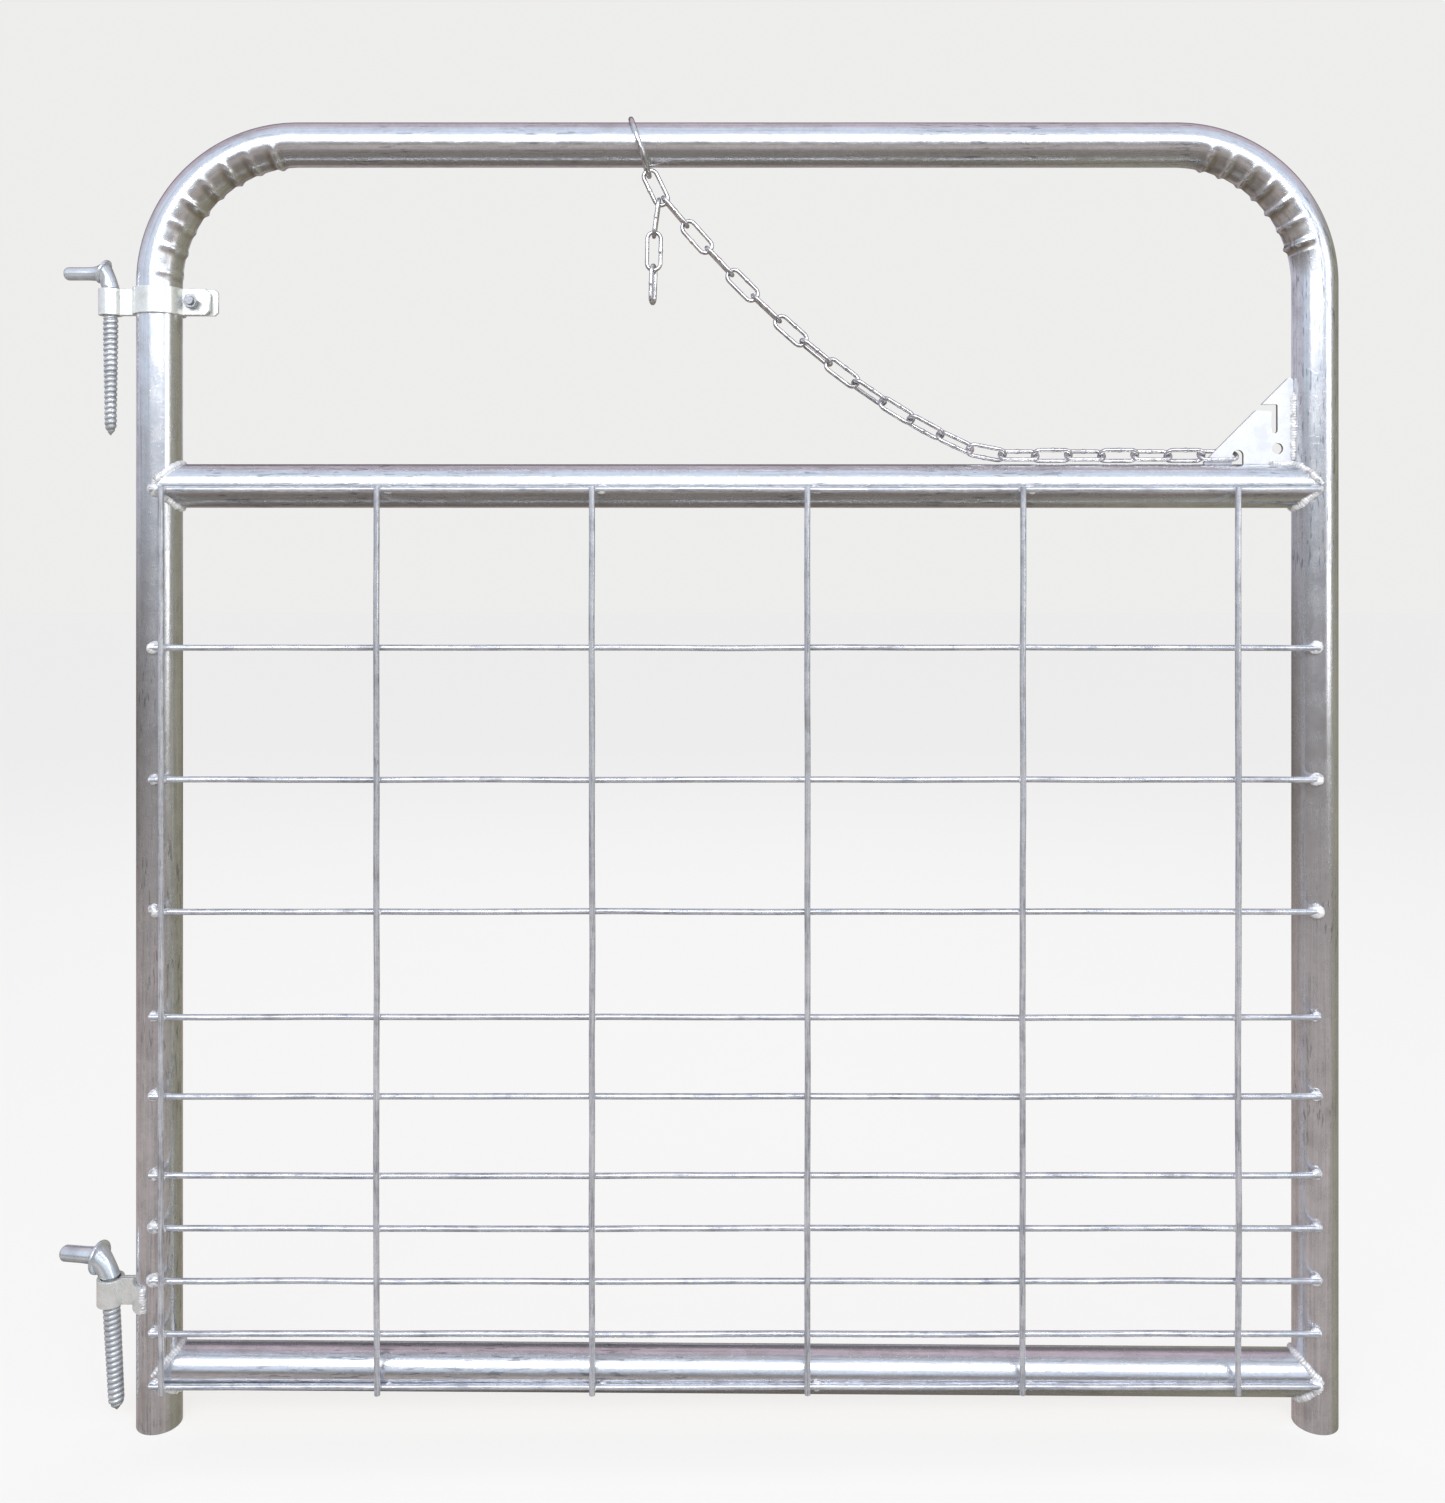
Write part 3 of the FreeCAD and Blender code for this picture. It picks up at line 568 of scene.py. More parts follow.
ZINC_FASTENER = ZincFinish(
    "zinc_fastener_coat", (0.6, 0.61, 0.64), (0.34, 0.35, 0.38), (0.2, 0.18, 0.16),
    streak_length=120.0, streak_width=120.0, blotches=160.0,
    metallic=0.8, smooth=0.2, rough=0.32, relief=0.02 * MM,
)
ZINC_HOOK = ZincFinish(
    "zinc_hook_coat", (0.82, 0.86, 0.89), (0.58, 0.62, 0.66), (0.2, 0.18, 0.15),
    streak_length=60.0, streak_width=60.0, blotches=50.0,
    metallic=0.65, smooth=0.14, rough=0.3, stain_share=0.15, speckle=0.1, relief=0.03 * MM,
)
ZINC_CHAIN = ZincFinish(
    "zinc_chain_coat", (0.84, 0.83, 0.84), (0.54, 0.54, 0.56), (0.3, 0.26, 0.22),
    streak_length=150.0, streak_width=150.0, blotches=150.0,
    metallic=0.9, smooth=0.16, rough=0.34, stain_share=0.3,
)
WELD_METAL = ZincFinish(
    "weld_metal_coat", (0.95, 0.95, 0.96), (0.68, 0.68, 0.68), (0.22, 0.18, 0.15),
    streak_length=140.0, streak_width=140.0, blotches=220.0,
    metallic=0.35, smooth=0.2, rough=0.5, relief=0.2 * MM, stain_share=0.6,
)


# Pieces.


@dataclass
class TubeFrame:
    """The bowed frame tube and its two rails."""

    bend_radius: float = 135 * MM
    wall: float = 1.6 * MM
    crimp_height: float = 2.1 * MM
    first_crimp: tuple[float, float] = (4.5, 18.0)
    last_crimp: tuple[float, float] = (81.2, 76.8)
    crimp_pitch: tuple[float, float] = (10.95, 9.8)
    crimp_fade: tuple[float, float] = (3.0, 4.5)
    crest_width: float = 0.13
    dip_offset: float = 0.26
    dip_depth: float = 0.2
    # How dark the painted shade is in the dip beside each crest and on the flanks of the crimps.
    dip_shade: float = 0.8
    flank_shade: float = 0.45
    bend_steps: int = 210
    sides: int = 72
    radius: float = field(init=False)
    left: float = field(init=False)
    right: float = field(init=False)
    top: float = field(init=False)

    def __post_init__(self) -> None:
        """Reads the frame tube's radius and axes off its box."""
        low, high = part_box("bow_frame")
        self.radius = (high.y - low.y) / 2
        self.left, self.right = low.x + self.radius, high.x - self.radius
        self.top = high.z - self.radius

    def tube_tree(self) -> Tree:
        """A tube with rounded corners, crimped bends and ends that may be coped round the stiles."""
        g = ShapeGraph("bent_tube", "Radius", "Bend", "Crimp", "Cope", "Left", "Right", "Top")
        radius, bend, crimp, cope, left, right, top = g.sizes()
        corner = {"Curve": g.geometry, "Count": self.bend_steps, "Radius": bend}
        rounded = g.shape("FilletCurve", {"mode": "POLY"}, **corner)
        tube = g.sweep(g.mark_share(rounded), radius, self.sides, False)

        x, y, z = g.parts(g.position)
        centre, half = (left + right) * 0.5, (right - left) * 0.5
        out = g.math("ABSOLUTE", x - centre) - (half - bend)
        up = z - (top - bend)
        turn = g.math("ARCTAN2", up, out) * math.degrees(1.0)
        inward = (bend - g.math("SQRT", out * out + up * up)) / radius
        latch_side = g.math("GREATER_THAN", x, centre)
        first, last, pitch = (
            at_hinge + latch_side * (at_latch - at_hinge)
            for at_hinge, at_latch in (self.first_crimp, self.last_crimp, self.crimp_pitch)
        )
        phase = g.math("FRACT", (turn - first) / pitch + 0.5) - 0.5
        crest = g.bell(phase, self.crest_width)
        dip = g.bell(phase + self.dip_offset, self.crest_width)
        near, far = self.crimp_fade
        window = g.ramp(turn, first - far, first - near) * g.ramp(turn, last + near, last + far, 1.0, 0.0)
        inside = g.ramp(inward, 0.0, 0.75) * g.math("GREATER_THAN", out, 0.0)
        uneven = g.noise(g.vector(turn * 0.09, latch_side * 3.0, 0.0), 1.0, 0.0)
        fading = 1.0 - 0.5 * (1.0 - latch_side) * g.ramp(turn, 40.0, 15.0)
        share = window * inside * g.ramp(uneven, 0.3, 0.7, 0.6, 1.15) * fading
        # Painted shade in the crimps: darkest in the dip beside each crest, less on the flanks, none on the
        # crests.
        tube = g.store(tube, "shade_and_seam", share * (dip * self.dip_shade + (1.0 - crest) * self.flank_shade))
        tube = g.move(tube, crimp * share * (crest - dip * self.dip_depth))

        reach = g.math("SQRT", g.math("MAXIMUM", radius * radius - y * y, 0.0))
        end = g.number("share")
        goal = left + reach + end * (right - reach - left - reach)
        at_end = g.math("GREATER_THAN", g.math("ABSOLUTE", end - 0.5), 0.4999) * cope
        ends = g.vector(goal, y, z)
        return g.end(g.shape("SetPosition", Geometry=tube, Selection=at_end, Position=ends))

    def rail_path(self, node: str) -> list[Vector]:
        """A rail's axis, from stile to stile, which may slope."""
        low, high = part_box(node)
        return [Vector((self.left, 0, high.z - self.radius)), Vector((self.right, 0, low.z + self.radius))]

    def build(self) -> None:
        """Makes the frame tube and the rails."""
        finish, tree = GALVANISED_TUBE.material(), self.tube_tree()
        sizes = {
            "Radius": self.radius, "Bend": self.bend_radius,
            "Left": self.left, "Right": self.right, "Top": self.top,
        }
        corners = [
            Vector((self.left, 0, 0)), Vector((self.left, 0, self.top)),
            Vector((self.right, 0, self.top)), Vector((self.right, 0, 0)),
        ]
        for name, node, run, crimp, cope in (
            ("bowed_frame_tube", "bow_frame", corners, self.crimp_height, 0),
            ("mid_rail_tube", "mid_rail", self.rail_path("mid_rail"), 0, 1),
            ("bottom_rail_tube", "bottom_rail", self.rail_path("bottom_rail"), 0, 1),
        ):
            piece = grow(name, paths([run]), tree, finish, self.wall, Crimp=crimp, Cope=cope, **sizes)
            hand_over(piece, "gate", Slot.TUBE, node)


@dataclass
class WireInfill:
    """Level and upright wires, welded where they cross."""

    step: float = 9 * MM
    wave: float = 2.2 * MM
    nugget: float = 3.3 * MM
    uneven: float = 2.4 * MM
    crossing: tuple[float, ...] = (1.0, 0.75, 0.9)
    end_tack: tuple[float, ...] = (2.0, 1.1, 1.7)
    rail_tack: tuple[float, ...] = (1.6, 0.95, 1.3)
    end_inset: float = 3 * MM
    tack_depth: float = 1.5 * MM
    tack_shift: float = 9 * MM
    sides: int = 14

    def wire_tree(self) -> Tree:
        """A drawn wire that is never quite straight."""
        g = ShapeGraph("wire", "Radius", "Wave", "Step")
        radius, wave, step = g.sizes()
        bent = g.sway(g.resample(g.geometry, step), 6.0, wave, 0.5)
        return g.end(g.sweep(bent, radius, self.sides, True))

    def nugget_tree(self) -> Tree:
        """Lumps of weld, each its own size and shape."""
        g = ShapeGraph("weld_lumps", "Uneven")
        ball = g.shape("MeshIcoSphere", Radius=1.0, Subdivisions=3)
        grade, turn = (
            live(g.add("FunctionNodeRandomValue", {"data_type": kind}, Min=low, Max=high, Seed=seed).outputs)
            for kind, low, high, seed in (
                ("FLOAT", 0.75, 1.2, 4),
                ("FLOAT_VECTOR", (-0.5, -0.5, -0.5), (0.5, 0.5, 0.5), 9),
            )
        )
        size = g.scaled(g.recall("size"), grade)
        lumps = g.shape("InstanceOnPoints", Points=g.geometry, Instance=ball, Rotation=turn, Scale=size)
        plain = g.shape("RealizeInstances", Geometry=lumps)
        rise = g.noise(g.position, 420.0)
        # Painted shade in the lumps' dents: darker where the noise pushes the surface in.
        plain = g.store(plain, "shade_and_seam", g.ramp(rise, 0.5, 0.3) * 0.5)
        return g.end(g.move(plain, (rise - 0.5) * g.sizes()[0]))

    @staticmethod
    def axis(node: str, lengthwise: int) -> list[Vector]:
        """A straight wire's axis, from the middle of one end to the other."""
        low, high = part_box(node)
        ends = [(low + high) / 2, (low + high) / 2]
        ends[0][lengthwise], ends[1][lengthwise] = low[lengthwise], high[lengthwise]
        return ends

    def welds(self, lines: Sequence[str], stays: Sequence[str]) -> list[tuple[Vector, tuple[float, ...]]]:
        """Where the weld lumps are, and each one's size in nuggets.

        Args:
            lines: The level wires' nodes.
            stays: The upright wires' nodes.

        Returns:
            The crossings and end tacks, line by line, then the tacks on the rails.
        """
        found = []
        for line in lines:
            (low, high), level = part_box(line), middle(line)
            for stay in stays:
                across = middle(stay)
                found.append((Vector((across.x, (across.y + level.y) / 2, level.z)), self.crossing))
            for x in (low.x + self.end_inset, high.x - self.end_inset):
                found.append((Vector((x, level.y + self.tack_depth, level.z)), self.end_tack))
        for stay in stays[1:-1]:
            for line in (lines[0], lines[-1]):
                x, level = middle(stay).x + self.tack_shift, middle(line)
                found.append((Vector((x, level.y + self.tack_depth, level.z)), self.rail_tack))
        return found

    def build(self) -> None:
        """Makes the wires and their weld lumps."""
        finish, tree = GALVANISED_WIRE.material(), self.wire_tree()
        lines = [f"line_wire_{i:02d}" for i in range(1, LINE_WIRES + 1)]
        stays = [f"stay_wire_{i}" for i in range(1, STAY_WIRES + 1)]
        low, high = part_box(lines[0])
        sizes = {"Radius": (high.z - low.z) / 2, "Wave": self.wave, "Step": self.step}
        for name, nodes, way in (("line_wires", lines, 0), ("stay_wires", stays, 2)):
            piece = grow(name, paths(self.axis(node, way) for node in nodes), tree, finish, **sizes)
            hand_over(piece, "gate", Slot.WIRE, *nodes)

        found = self.welds(lines, stays)
        size = [tuple(self.nugget * share for share in shares) for _, shares in found]
        points = spots([place for place, _ in found], size=size)
        lumps = grow("wire_welds", points, self.nugget_tree(), WELD_METAL.material(), Uneven=self.uneven)
        hand_over(lumps, "gate", Slot.WELD, "mesh_tack_welds")


@dataclass
class WeldSeams:
    """Rippled beads where the rails, the plate and the lower eye are welded on."""

    tube: TubeFrame
    bead: float = 2.7 * MM
    ripple: float = 0.55 * MM
    ripple_pitch: float = 2.6 * MM
    wander: float = 1.6 * MM
    step: float = 0.65 * MM
    lift: float = 0.3 * MM
    corner_gap: float = 3 * MM
    sides: int = 14
    steps: int = 40

    def bead_tree(self) -> Tree:
        """A weld bead, rippled along its length and thinner at its ends."""
        g = ShapeGraph("weld_bead", "Radius", "Ripple", "Pitch")
        radius, ripple, pitch = g.sizes()
        path = g.sway(g.mark_share(g.resample(g.geometry, self.step)), 90.0, self.wander)
        bead = g.sweep(path, radius, self.sides, True)
        wave = g.math("ABSOLUTE", g.math("SINE", g.number("along") / pitch * math.pi))
        lump = g.noise(g.position, 170.0) - 0.5
        end = g.number("share")
        taper = g.math("MINIMUM", g.ramp(end, 0.0, 0.08), g.ramp(end, 1.0, 0.92))
        # Painted shade in the troughs between the ripples.
        bead = g.store(bead, "shade_and_seam", g.ramp(wave, 0.5, 0.0) * 0.6)
        height = wave * ripple + lump * radius * 1.5 - (1.0 - taper) * radius * 0.6
        return g.end(g.move(bead, height))

    def cope_seam(self, x: float, z: float, side: int, up: int) -> list[Vector]:
        """Half of the seam where two equal tubes cross.

        Args:
            x: The stile's axis.
            z: The rail's axis.
            side: 1 where the rail leaves towards +X, or -1.
            up: 1 for the half above the rail, or -1.

        Returns:
            The seam's points.
        """
        reach = self.tube.radius + self.lift
        turns = [math.pi * (i / self.steps - 0.5) * 0.97 for i in range(self.steps + 1)]
        return [
            Vector((x + side * reach * math.cos(t), reach * math.sin(t), z + up * reach * math.cos(t)))
            for t in turns
        ]

    def build(self) -> None:
        """Makes the frame's seams, the plate's and the lower eye's."""
        tree, finish = self.bead_tree(), WELD_METAL.material()
        sizes = {"Radius": self.bead, "Ripple": self.ripple, "Pitch": self.ripple_pitch}
        runs = []
        for rail in ("mid_rail", "bottom_rail"):
            for start, side in zip(self.tube.rail_path(rail), (1, -1)):
                runs += [self.cope_seam(start.x, start.z, side, up) for up in (-1, 1)]

        low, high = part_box("latch_plate_weld")
        front, edge, foot = (low.y + high.y) / 2, high.x - self.bead, low.z + self.bead
        upright = [Vector((edge, front, foot + self.corner_gap)), Vector((edge, front, high.z))]
        level = [Vector((low.x, front, foot)), Vector((high.x, front, foot))]

        low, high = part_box("lower_hinge_weld")
        x = (low.x + high.x) / 2
        backs = (low.y + self.bead, high.y - self.bead)
        ends = [[Vector((x, y, low.z)), Vector((x, y, high.z))] for y in backs]
        for name, lines, node in (
            ("frame_seams", runs, "frame_welds"),
            ("plate_seams", [upright, level], "latch_plate_weld"),
            ("eye_seams", ends, "lower_hinge_weld"),
        ):
            hand_over(grow(name, paths(lines), tree, finish, **sizes), "gate", Slot.WELD, node)


@dataclass
class PressedSteel:
    """Plate, straps, bolt and nut: the frame's own shapes with softened edges."""

    edge: float = 0.45 * MM
    merge_reach: float = 0.004 * MM
    flat_within: float = math.radians(0.6)
    bevel_from: float = math.radians(40)
    rim: float = 1.5 * MM
    # How dark the painted shade is on the openings' walls and on the plate's edges.
    hole_shade: float = 1.3
    rim_shade: float = 0.7

    def soften(self, node: str, name: str, finish: Material, edge: float) -> Piece:
        """A merged copy of a frame node, with its edges rounded over.

        Args:
            node: The frame's node.
            name: The piece's name.
            finish: Its material.
            edge: How far the rounding reaches.

        Returns:
            The piece.
        """
        shape = bmesh.new()
        shape.from_mesh(frame["nodes"][node].data)
        bmesh.ops.remove_doubles(shape, verts=shape.verts, dist=self.merge_reach)
        bmesh.ops.dissolve_limit(
            shape, angle_limit=self.flat_within, verts=shape.verts, edges=shape.edges
        )
        mesh = bpy.data.meshes.new(name)
        shape.to_mesh(mesh)
        shape.free()
        base = new_object(name, mesh)
        bevel = base.modifiers.new("edges", "BEVEL")
        bevel.width = edge
        bevel.segments = 2
        bevel.angle_limit = self.bevel_from
        piece = settle(name, base)
        piece.data.materials.clear()
        piece.data.materials.append(finish)
        piece.data.shade_smooth()
        piece.data.set_sharp_from_angle(angle=PRESSED_SHARP)
        return piece

    def shade_holes(self, sheet: Piece) -> None:
        """Marks painted shade: darkest on the walls of the openings and less on the plate's own edges.

        Args:
            sheet: The plate, a triangle with its right angle at +X and -Z.
        """
        low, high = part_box("latch_plate")
        size = high - low
        painted_shade = sheet.data.attributes.new("shade_and_seam", "FLOAT", "FACE")
        for face, mark in zip(sheet.data.polygons, painted_shade.data):
            centre = face.center
            # Faces that turn sideways get painted shade: the openings' walls, and less the outer edges.
            if abs(face.normal.y) < 0.8:
                slope = (centre.x - low.x) / size.x - (centre.z - low.z) / size.z
                gaps = slope * size.x / 3, high.x - centre.x, centre.z - low.z
                mark.value = self.hole_shade if min(gaps) > self.rim else self.rim_shade

    def build(self) -> None:
        """Makes the latch plate, both hinge straps and the clamp's bolt and nut."""
        finishes = (GALVANISED_PLATE, GALVANISED_STRAP, ZINC_FASTENER)
        plate, strap, zinc = (finish.material() for finish in finishes)
        sheet = self.soften("latch_plate", "latch_plate_sheet", plate, self.edge)
        self.shade_holes(sheet)
        hand_over(sheet, "gate", Slot.PLATE, "latch_plate")
        for node, name, finish, slot, edge in (
            ("upper_hinge_strap", "upper_strap", strap, Slot.STRAP, self.edge),
            ("lower_hinge_eye", "lower_strap_eye", strap, Slot.STRAP, self.edge),
            ("clamp_bolt", "strap_bolt", zinc, Slot.FASTENER, self.edge * 0.7),
            ("clamp_nut", "strap_nut", zinc, Slot.FASTENER, self.edge * 0.8),
        ):
            hand_over(self.soften(node, name, finish, edge), "gate", slot, node)


# Depth past the collar's face and inset from its rim, in mm.
COLLAR_RIM = ((0.1, 0.8), (0.5, 0.2), (1.1, 0.0), (2.1, 0.0), (2.7, 0.25), (3.1, 0.9))
# The pin's rounded end: place along it and radius, as shares.
PIN_END = ((1.0, 1.0), (0.72, 0.97), (0.4, 0.86), (0.14, 0.72), (0.0, 0.58), (0.0, 0.02))


@dataclass
class ScrewHook:
    """A forged screw hook that hangs in its eye, thread down."""

    place: str
    seat: float
    flare: float
    collar: float
    collar_x: float
    collar_height: float
    collar_lean: float
    shank: float
    pin_height: float
    reach: float
    shoulder: float
    drop: float
    crest: float
    root: float
    taper: float
    pitch: float = 5.08 * MM
    thread_top: float = -15 * MM
    point_length: float = 14 * MM
    sides: int = 56

    def local_frame(self) -> Matrix:
        """From the hook's own axes, shank along Z and pin along -X, to the gate's."""
        joint = next(j for j in frame["joints"] if j["name"] == f"{self.place}_hook_swivel")
        mount = next(m for m in frame["record"]["mounts"] if m["name"] == f"{self.place}_hook_pin")
        up, out = Vector(joint["axis"]).normalized(), -Vector(mount["axis"]).normalized()
        turned = Matrix((out, up.cross(out), up)).transposed().to_4x4()
        return Matrix.Translation(Vector(joint["pos_m"])) @ turned

    def thread_tree(self) -> Tree:
        """The shank: plain in its eye, then a lag thread down to a point."""
        g = ShapeGraph("lag_thread", "Shank", "Crest", "Root", "Pitch", "Start", "Tip", "Point", "Taper")
        shank, crest, root, pitch, start, tip, point, taper = g.sizes()
        rod = g.sweep(g.resample(g.geometry, pitch / 13.0), shank, 44, True)
        x, y, z = g.parts(g.position)
        girth = g.math("ARCTAN2", y, x)
        turn = g.math("FRACT", z / pitch - girth / (2 * math.pi))
        ridge = g.ramp(g.math("ABSOLUTE", turn - 0.5), 0.4, 0.18)
        cut = g.ramp(z, start + 1.5 * MM, start - 2.5 * MM)
        nose = g.ramp(z, tip, tip + point)
        blunt = g.math("POWER", 1.0 - (1.0 - nose) * (1.0 - nose), 0.55)
        sharp = blunt * (1.0 - taper * g.ramp(z, start, tip)) + 0.05
        worn = g.noise(g.position, 160.0) - 0.5
        threaded = (root + (crest - root) * ridge) * sharp + worn * 0.25 * MM
        radius = shank + (threaded - shank) * cut
        # Painted shade in the thread's roots; the point is also darker towards its tip.
        rod = g.store(rod, "shade_and_seam", (1.0 - ridge) * cut * nose * 0.65 + (1.0 - nose) * 0.5)
        ring = g.vector(g.math("COSINE", girth) * radius, g.math("SINE", girth) * radius, z)
        return g.end(g.shape("SetPosition", Geometry=rod, Position=ring))

    def thread(self, finish: Material) -> Piece:
        """The threaded shank, in the hook's own axes."""
        run = [Vector((0, 0, self.seat + 2 * MM)), Vector((0, 0, -self.drop))]
        return grow(
            f"{self.place}_hook_thread", paths([run]), self.thread_tree(), finish,
            Shank=self.shank - 0.25 * MM, Crest=self.crest, Root=self.root, Pitch=self.pitch,
            Start=self.thread_top, Tip=-self.drop, Point=self.point_length, Taper=self.taper,
        )

    def rings(self) -> list[tuple[Vector, Vector, float]]:
        """The forging's outline: centre, facing and radius, from seat to pin end."""
        lean = math.radians(self.collar_lean)
        facing = Vector((-math.cos(lean), 0, math.sin(lean)))
        brow = Vector((self.collar_x, 0, self.collar_height))
        up, out = Vector((0, 0, 1)), Vector((-1, 0, 0))
        soft = 0.7 * MM
        found = [
            (Vector((0, 0, self.seat)), up, 0.3 * MM),
            (Vector((0, 0, self.seat)), up, self.flare - soft),
            (Vector((0, 0, self.seat + soft)), up, self.flare),
        ]
        foot, steps = found[-1], 8
        for i in range(1, steps + 1):
            t = i / steps
            way = (up * (1 - t) + facing * t).normalized()
            waist = 1 - 0.1 * math.sin(math.pi * t)
            girth = (self.flare * (1 - t) + self.collar * 0.8 * t) * waist
            found.append((foot[0].lerp(brow, t), way, girth))
        for depth, inset in COLLAR_RIM:
            found.append((brow + facing * depth * MM, facing, self.collar - inset * MM))
        start = found[-1][0]
        goal = Vector((-self.shoulder, 0, self.pin_height))
        for i in range(1, 7):
            t = i / 6
            way = (facing * (1 - t) + out * t).normalized()
            fall = (1 - t) ** 2.2
            narrow = (self.collar - 1.2 * MM) * fall + (self.shank + 0.4 * MM) * (1 - fall)
            found.append((start.lerp(goal, t ** 1.1), way, narrow))
        nose = 0.6 * self.shank
        for back, share in ((nose + 20 * MM, 1.0), *((nose * place, share) for place, share in PIN_END)):
            found.append((Vector((back - self.reach, 0, self.pin_height)), out, self.shank * share))
        return found

    def forging(self, finish: Material) -> Piece:
        """The seat, horn, collar and pin, as one skin in the hook's own axes."""
        side = Vector((0, 1, 0))
        places, faces, n = [], [], self.sides
        for centre, facing, radius in self.rings():
            across = facing.cross(side)
            for i in range(n):
                turn = 2 * math.pi * i / n
                places.append(centre + radius * (math.cos(turn) * side + math.sin(turn) * across))
        count = len(places) // n
        for ring in range(count - 1):
            a, b = ring * n, (ring + 1) * n
            faces += [(a + i, a + (i + 1) % n, b + (i + 1) % n, b + i) for i in range(n)]
        faces += [tuple(range(n)), tuple(range((count - 1) * n, count * n))]
        mesh = bpy.data.meshes.new(f"{self.place}_hook_forging")
        mesh.from_pydata([tuple(p) for p in places], [], faces)
        shape = bmesh.new()
        shape.from_mesh(mesh)
        bmesh.ops.recalc_face_normals(shape, faces=shape.faces)
        shape.to_mesh(mesh)
        shape.free()
        mesh.materials.append(finish)
        mesh.shade_smooth()
        mesh.set_sharp_from_angle(angle=FORGED_SHARP)
        return new_object(mesh.name, mesh)

    def build(self) -> None:
        """Makes the hook and hangs it in its eye."""
        finish, placed = ZINC_HOOK.material(), self.local_frame()
        node = f"{self.place}_screw_hook"
        for piece in (self.forging(finish), self.thread(finish)):
            piece.data.transform(placed)
            hand_over(piece, f"{self.place}_hook", Slot.HOOK, node)


@dataclass
class Chain:
    """Welded long links, the tie ring round the bow and the loose tail."""

    wire: float = 2.0 * MM
    bend: float = 6.5 * MM
    straight: float = 23.3 * MM
    weld_rise: float = 0.42 * MM
    ring_wire: float = 2.5 * MM
    ring_bend: float = 25.2 * MM
    ring_straight: float = 5.6 * MM
    tail_thinning: float = 0.965
    weld_width: float = 1.5 * MM
    seam_place: float = 1.3 * MM
    seam_width: float = 0.35 * MM

    def link_tree(self) -> Tree:
        """Links of bent rod, each with the bump of its butt weld."""
        g = ShapeGraph("links", "Wire", "Bend", "Straight", "Rise")
        wire, bend, straight, rise = g.sizes()
        box = g.shape("CurvePrimitiveQuadrilateral", Width=straight + 2 * bend, Height=2 * bend)
        corner = {"Curve": box, "Count": 14, "Radius": bend * 0.999}
        oval = g.shape("FilletCurve", {"mode": "POLY"}, **corner)
        even = g.shape("ResampleCurve", {"mode": "COUNT"}, Curve=oval, Count=96)
        rod = g.sweep(even, wire, 16, False)
        x, y, _ = g.parts(g.position)
        welded = g.math("GREATER_THAN", y, 0.0)
        near = g.bell(x, self.weld_width) * welded
        seam = g.bell(x - self.seam_place, self.seam_width) * welded
        rod = g.store(rod, "shade_and_seam", seam * 0.7)
        rod = g.move(rod, near * rise)
        turn = g.recall("turn")
        return g.end(g.shape("InstanceOnPoints", Points=g.geometry, Instance=rod, Rotation=turn))

    @staticmethod
    def lie(node: str) -> tuple[Vector, Vector]:
        """Where a link's middle is, and how it is turned.

        Args:
            node: The link's frame node.

        Returns:
            Its middle and its Euler turn, long side along X and face along Z.
        """
        centre = middle(node)
        points = np.array([v.co - centre for v in frame["nodes"][node].data.vertices])
        _, axes = np.linalg.eigh(points.T @ points)
        long_side, face = Vector(axes[:, 2]), Vector(axes[:, 0])
        turned = Matrix((long_side, face.cross(long_side), face)).transposed()
        return centre, Vector(turned.to_euler())

    def links(
        self, name: str, nodes: Sequence[str], body: str, finish: Material, **sizes: float
    ) -> None:
        """One body's links as one piece.

        Args:
            name: The piece's name.
            nodes: The frame nodes that it stands for.
            body: The body that it rides on.
            finish: Its material.
            **sizes: The link's sizes.
        """
        lies = [self.lie(node) for node in nodes]
        points = spots([p for p, _ in lies], turn=[t for _, t in lies])
        piece = grow(name, points, self.link_tree(), finish, Rise=self.weld_rise, **sizes)
        hand_over(piece, body, Slot.CHAIN, *nodes)

    def build(self) -> None:
        """Makes the chain, the link in the plate, the tail and the tie ring."""
        finish = ZINC_CHAIN.material()
        link = {"Wire": self.wire, "Bend": self.bend, "Straight": self.straight}
        loose = link | {"Wire": self.wire * self.tail_thinning}
        ring = {"Wire": self.ring_wire, "Bend": self.ring_bend, "Straight": self.ring_straight}
        run = [f"chain_link_{i:02d}" for i in range(1, CHAIN_LINKS + 1)]
        self.links("latch_chain", run, "chain", finish, **link)
        self.links("notch_link", ["plate_link"], "gate", finish, **link)
        self.links("tie_ring", ["chain_tie_ring"], "gate", finish, **ring)
        for i in range(1, TAIL_LINKS + 1):
            self.links(f"loose_link_{i}", [f"tail_link_{i}"], f"tail_{i}", finish, **loose)


